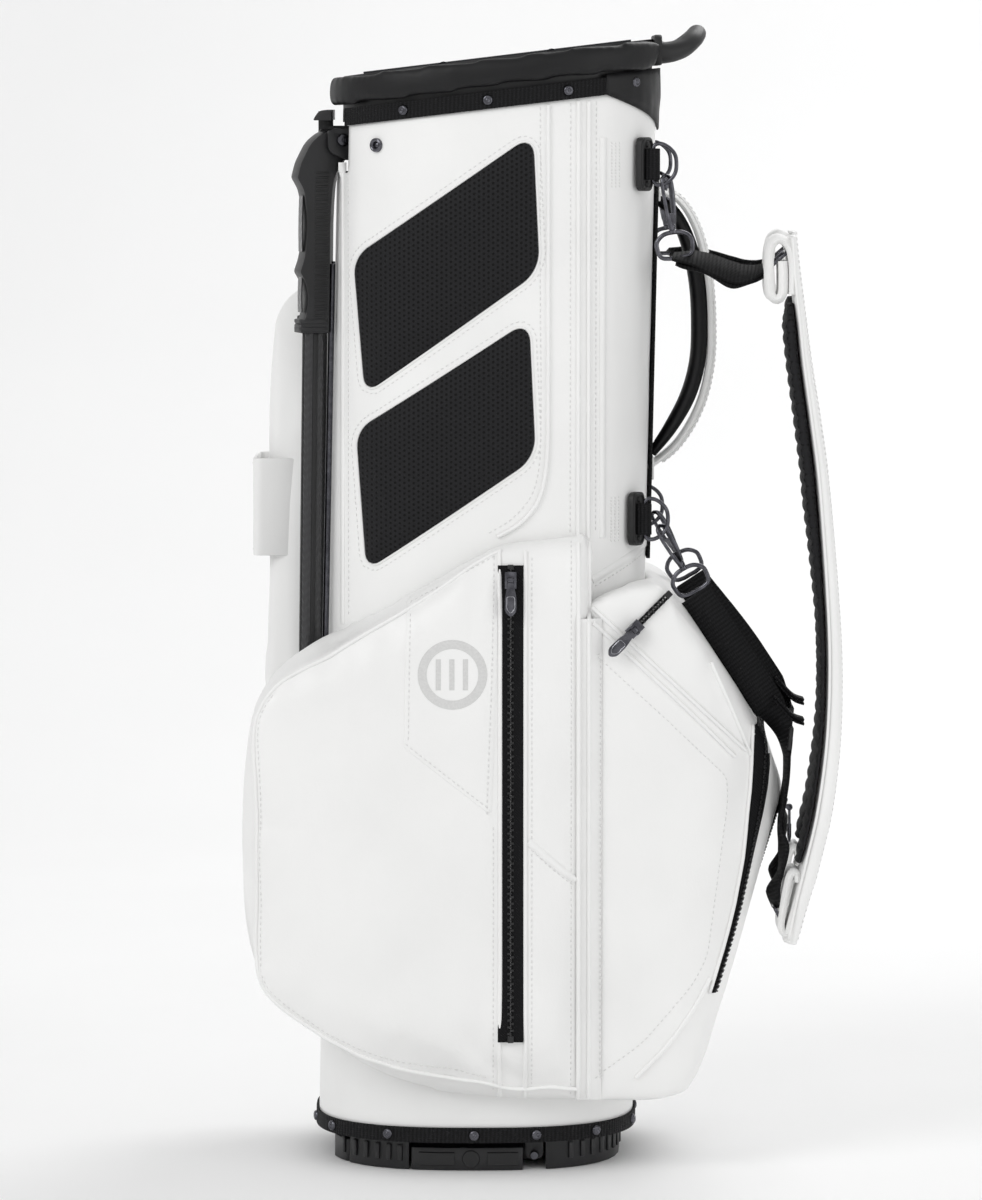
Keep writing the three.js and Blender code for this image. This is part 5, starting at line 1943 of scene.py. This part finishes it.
            metal = bmesh.new()
            for (x0, z0), (x1, z1), half in (
                ((229, 710), (243.5, 722.5), 14.5), ((236.5, 206.5), (243.5, 193.5), 13.5),
            ):
                corners = [(x0, -half, z0), (x0, half, z0), (x1, half, z1), (x1, -half, z1)]
                line = []
                for a, b in zip(corners, corners[1:] + corners[:1]):
                    a, b = Vector(a), Vector(b)
                    line += [a.lerp(b, s) for s in (0.12, 0.5, 0.88)]
                loop = smooth_path([p + Vector((0, STRAP_Y, 0)) for p in line], 1.6, closed=True)[:-1]
                merge_into(metal, bar(loop, 1.5, hardware.hardware_sides, closed=True))
            finished(f"{side}_strap_end_rings", stretched(metal, sign), "gunmetal", body, 60)
            glide = bmesh.new()
            for offset in (-7.5, 0, 7.5):
                spot = Vector((248.2, STRAP_Y, 341)) + Vector((0.1, 0, 1)) * offset
                merge_into(glide, bar([spot + Vector((0, y, 0)) for y in (-14, -7, 0, 7, 14)], 1.9, 10))
            for y in (-14, 14):
                merge_into(glide, bar([Vector((248.2 + 0.1 * s, STRAP_Y + y, 341 + s)) for s in (-8, 0, 8)], 1.9, 10))
            finished(f"{side}_strap_glide", stretched(glide, sign), "dark_plastic", body, 50)
        return {"FINISHED"}


class BAG_OT_pocket_details(bpy.types.Operator):
    """The loop round the tall pocket and the black placket down the ball pocket's near edge"""

    bl_idname = "bag.pocket_details"
    bl_label = "Pocket details"

    def execute(self, context):
        skin = BAG["skin"]
        length = context.scene.bag_leather.stitch_length / MM
        loop = softened("pocket_loop", 0.9, 2, 35)
        finished("pocket_loop_band", loop, "leather", "bag", 45, ["pocket_loop"])
        rows = bmesh.new()
        for z in (477.5, 547.5):
            path = [Vector((x, 154.2, z)) for x in range(-168, -48, 4)]
            merge_into(rows, stitches(path, [Vector((0, 1, 0))] * len(path), length))
            path = [Vector((-180.2, y, z)) for y in range(70, 148, 4)]
            merge_into(rows, stitches(path, [Vector((-1, 0, 0))] * len(path), length))
        finished("pocket_loop_stitches", rows, "white_thread", "bag", 180)

        edges = [
            (352, 219, 231), (338, 218.5, 232), (320, 218, 232.5), (302, 217, 231), (284, 215, 227.5),
            (266, 213.5, 223),
            (248, 211.5, 218.5), (230, 208, 214), (212, 204.5, 209.5), (194, 200, 204.5), (176, 195, 199),
            (158, 189.5, 193.5), (142, 184.5, 188.5),
        ]
        rows, coil, lips = [], bmesh.new(), []
        for z in range(352, 141, -4):
            left = table(-z, [(-a, b) for a, b, _ in edges])
            right = table(-z, [(-a, c) for a, _, c in edges])
            rows.append([skin.near(left + (right - left) * k / 5, z, 0.2 if k in (0, 5) else 1.5)[0] for k in range(6)])
            lips.append(skin.near(left - 1.6, z, 0.9)[0])
        placket = loft(rows, closed=False)
        if sum(f.normal.y * f.calc_area() for f in placket.faces) > 0:
            bmesh.ops.reverse_faces(placket, faces=placket.faces)
        piece = finished("ball_pocket_placket", placket, "zip_tape", "bag", 60)
        skin_wall = piece.modifiers.new("thickness", "SOLIDIFY")
        skin_wall.thickness, skin_wall.offset = 0.0009, -1
        for i, (row, after) in enumerate(zip(rows, rows[1:])):
            for j in range(2):
                spot = row[3].lerp(after[3], j / 2)
                across = (row[5] - row[0]).normalized()
                way = (after[3] - row[3]).normalized()
                out = way.cross(across).normalized()
                out = out if out.y < 0 else -out
                tooth = block(-1.7, 1.7, -0.7, 0.7, -0.55, 0.55, 0.3, 1)
                lean = (across + way * (0.55 if (2 * i + j) % 2 else -0.55)).normalized()
                turn = Matrix((lean, out.cross(lean).normalized(), out)).transposed().to_4x4()
                bmesh.ops.transform(tooth, matrix=Matrix.Translation(spot + out * 0.7) @ turn, verts=tooth.verts)
                merge_into(coil, tooth)
        finished("ball_pocket_placket_teeth", coil, "tooth", "bag", 40)
        finished("ball_pocket_placket_piping", bar(respaced(lips, 5), 1.5, 8), "leather", "bag", 180)
        return {"FINISHED"}


class BAG_OT_stage(bpy.types.Operator):
    """The camera, a pale sweep of paper behind and under the bag, and soft studio lights"""

    bl_idname = "bag.stage"
    bl_label = "Stage"

    def execute(self, context):
        scene = context.scene
        lens = bpy.data.cameras.new("camera")
        lens.sensor_width, lens.lens = 36, 169.5
        lens.clip_start, lens.clip_end = 0.05, 60
        camera = bpy.data.objects.new("camera", lens)
        camera.location = (0.0128, -4.5, 0.85)
        camera.rotation_euler = (Vector((0.0128, 0, 0.4425)) - camera.location).to_track_quat("-Z", "Y").to_euler()
        scene.collection.objects.link(camera)
        scene.camera = camera

        paper = surface("pale_paper", {"IOR": 1.45}, lambda tree: {
            "Base Color": ramp(tree, noise(tree, 400), [(0.3, "#f6f6f6"), (0.7, "#f8f8f8")]),
            "Roughness": spread(tree, noise(tree, 30), 0.85, 0.95),
        })
        # The paper is seen from its front only, so that a view from behind it still shows the bag.
        tree = paper.node_tree
        sheet, output = tree.nodes["Principled BSDF"], tree.nodes["Material Output"]
        one_sided = node(
            tree, "ShaderNodeMixShader", {"Fac": node(tree, "ShaderNodeNewGeometry").outputs["Backfacing"]},
        )
        tree.links.new(sheet.outputs["BSDF"], one_sided.inputs[1])
        tree.links.new(node(tree, "ShaderNodeBsdfTransparent").outputs["BSDF"], one_sided.inputs[2])
        tree.links.new(one_sided.outputs["Shader"], output.inputs["Surface"])
        side, low = 6.0, -0.0005
        sweep = loft([
            [Vector((-side, y, z)), Vector((side, y, z))]
            for y, z in [(-6, low), (1.6, low)]
            + [
                (
                    1.6 + 1.4 * math.sin(a), low + 1.4 * (1 - math.cos(a)),
                ) for a in (math.pi / 2 * i / 12 for i in range(1, 13))
            ]
            + [(3.0, 5.0)]
        ], closed=False)
        sweep.normal_update()
        if sum(f.normal.z * f.calc_area() for f in sweep.faces) < 0:
            bmesh.ops.reverse_faces(sweep, faces=sweep.faces)
        mesh = bpy.data.meshes.new("paper_sweep")
        sweep.to_mesh(mesh)
        sweep.free()
        mesh.materials.append(paper)
        floor = bpy.data.objects.new("paper_sweep", mesh)
        scene.collection.objects.link(floor)
        mesh.polygons.foreach_set("use_smooth", [True] * len(mesh.polygons))
        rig.stage(floor)

        world = bpy.data.worlds.new("studio")
        world.use_nodes = True
        world.node_tree.nodes["Background"].inputs["Color"].default_value = (1, 1, 1, 1)
        world.node_tree.nodes["Background"].inputs["Strength"].default_value = 0.6
        scene.world = world
        for name, place, size, power in (
            ("key", (-2.4, -2.6, 2.6), 2.2, 44), ("fill", (2.8, -2.0, 1.2), 2.4, 16),
            ("rim", (1.2, 2.0, 2.6), 1.8, 34), ("front", (0.2, -4.2, 2.8), 1.8, 9),
        ):
            lamp = bpy.data.lights.new(name, "AREA")
            lamp.energy, lamp.size, lamp.shape = power, size, "DISK"
            light = bpy.data.objects.new(name, lamp)
            light.location = place
            light.rotation_euler = (Vector((0.03, 0, 0.45)) - Vector(place)).to_track_quat("-Z", "Y").to_euler()
            scene.collection.objects.link(light)
        scene.view_settings.view_transform = "Standard"
        return {"FINISHED"}


STEPS = [
    c for c in list(globals().values()) if isinstance(c, type) and issubclass(
        c, bpy.types.Operator,
    ) and c is not bpy.types.Operator
]


class BAG_PT_panel(bpy.types.Panel):
    """Lists the bag's sizes and the steps that build it"""

    bl_idname = "BAG_PT_panel"
    bl_label = "Golf Stand Bag"
    bl_space_type = "VIEW_3D"
    bl_region_type = "UI"
    bl_category = "Golf Bag"

    def draw(self, context):
        for settings in (context.scene.bag_leather, context.scene.bag_padding, context.scene.bag_hardware):
            box = self.layout.box()
            for key in settings.bl_rna.properties.keys():
                if key not in ("rna_type", "name"):
                    box.prop(settings, key)
        for step in STEPS:
            self.layout.operator(step.bl_idname)


CLASSES = [LeatherSettings, PaddingSettings, HardwareSettings, *STEPS, BAG_PT_panel]


def register():
    for made in CLASSES:
        bpy.utils.register_class(made)
    bpy.types.Scene.bag_leather = PointerProperty(type=LeatherSettings)
    bpy.types.Scene.bag_padding = PointerProperty(type=PaddingSettings)
    bpy.types.Scene.bag_hardware = PointerProperty(type=HardwareSettings)


def unregister():
    for name in ("bag_leather", "bag_padding", "bag_hardware"):
        delattr(bpy.types.Scene, name)
    for made in reversed(CLASSES):
        bpy.utils.unregister_class(made)


def main():
    register()
    BAG["materials"] = make_materials()
    for step in STEPS:
        getattr(bpy.ops.bag, step.bl_idname.split(".")[1])()
    low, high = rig.bounds()
    with open("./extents.json", "w") as out:
        json.dump({
            "cad": [list(CAD_BOX[0]), list(CAD_BOX[1])], "looks": [list(low), list(high)],
        }, out)


if __name__ == "__main__":
    main()
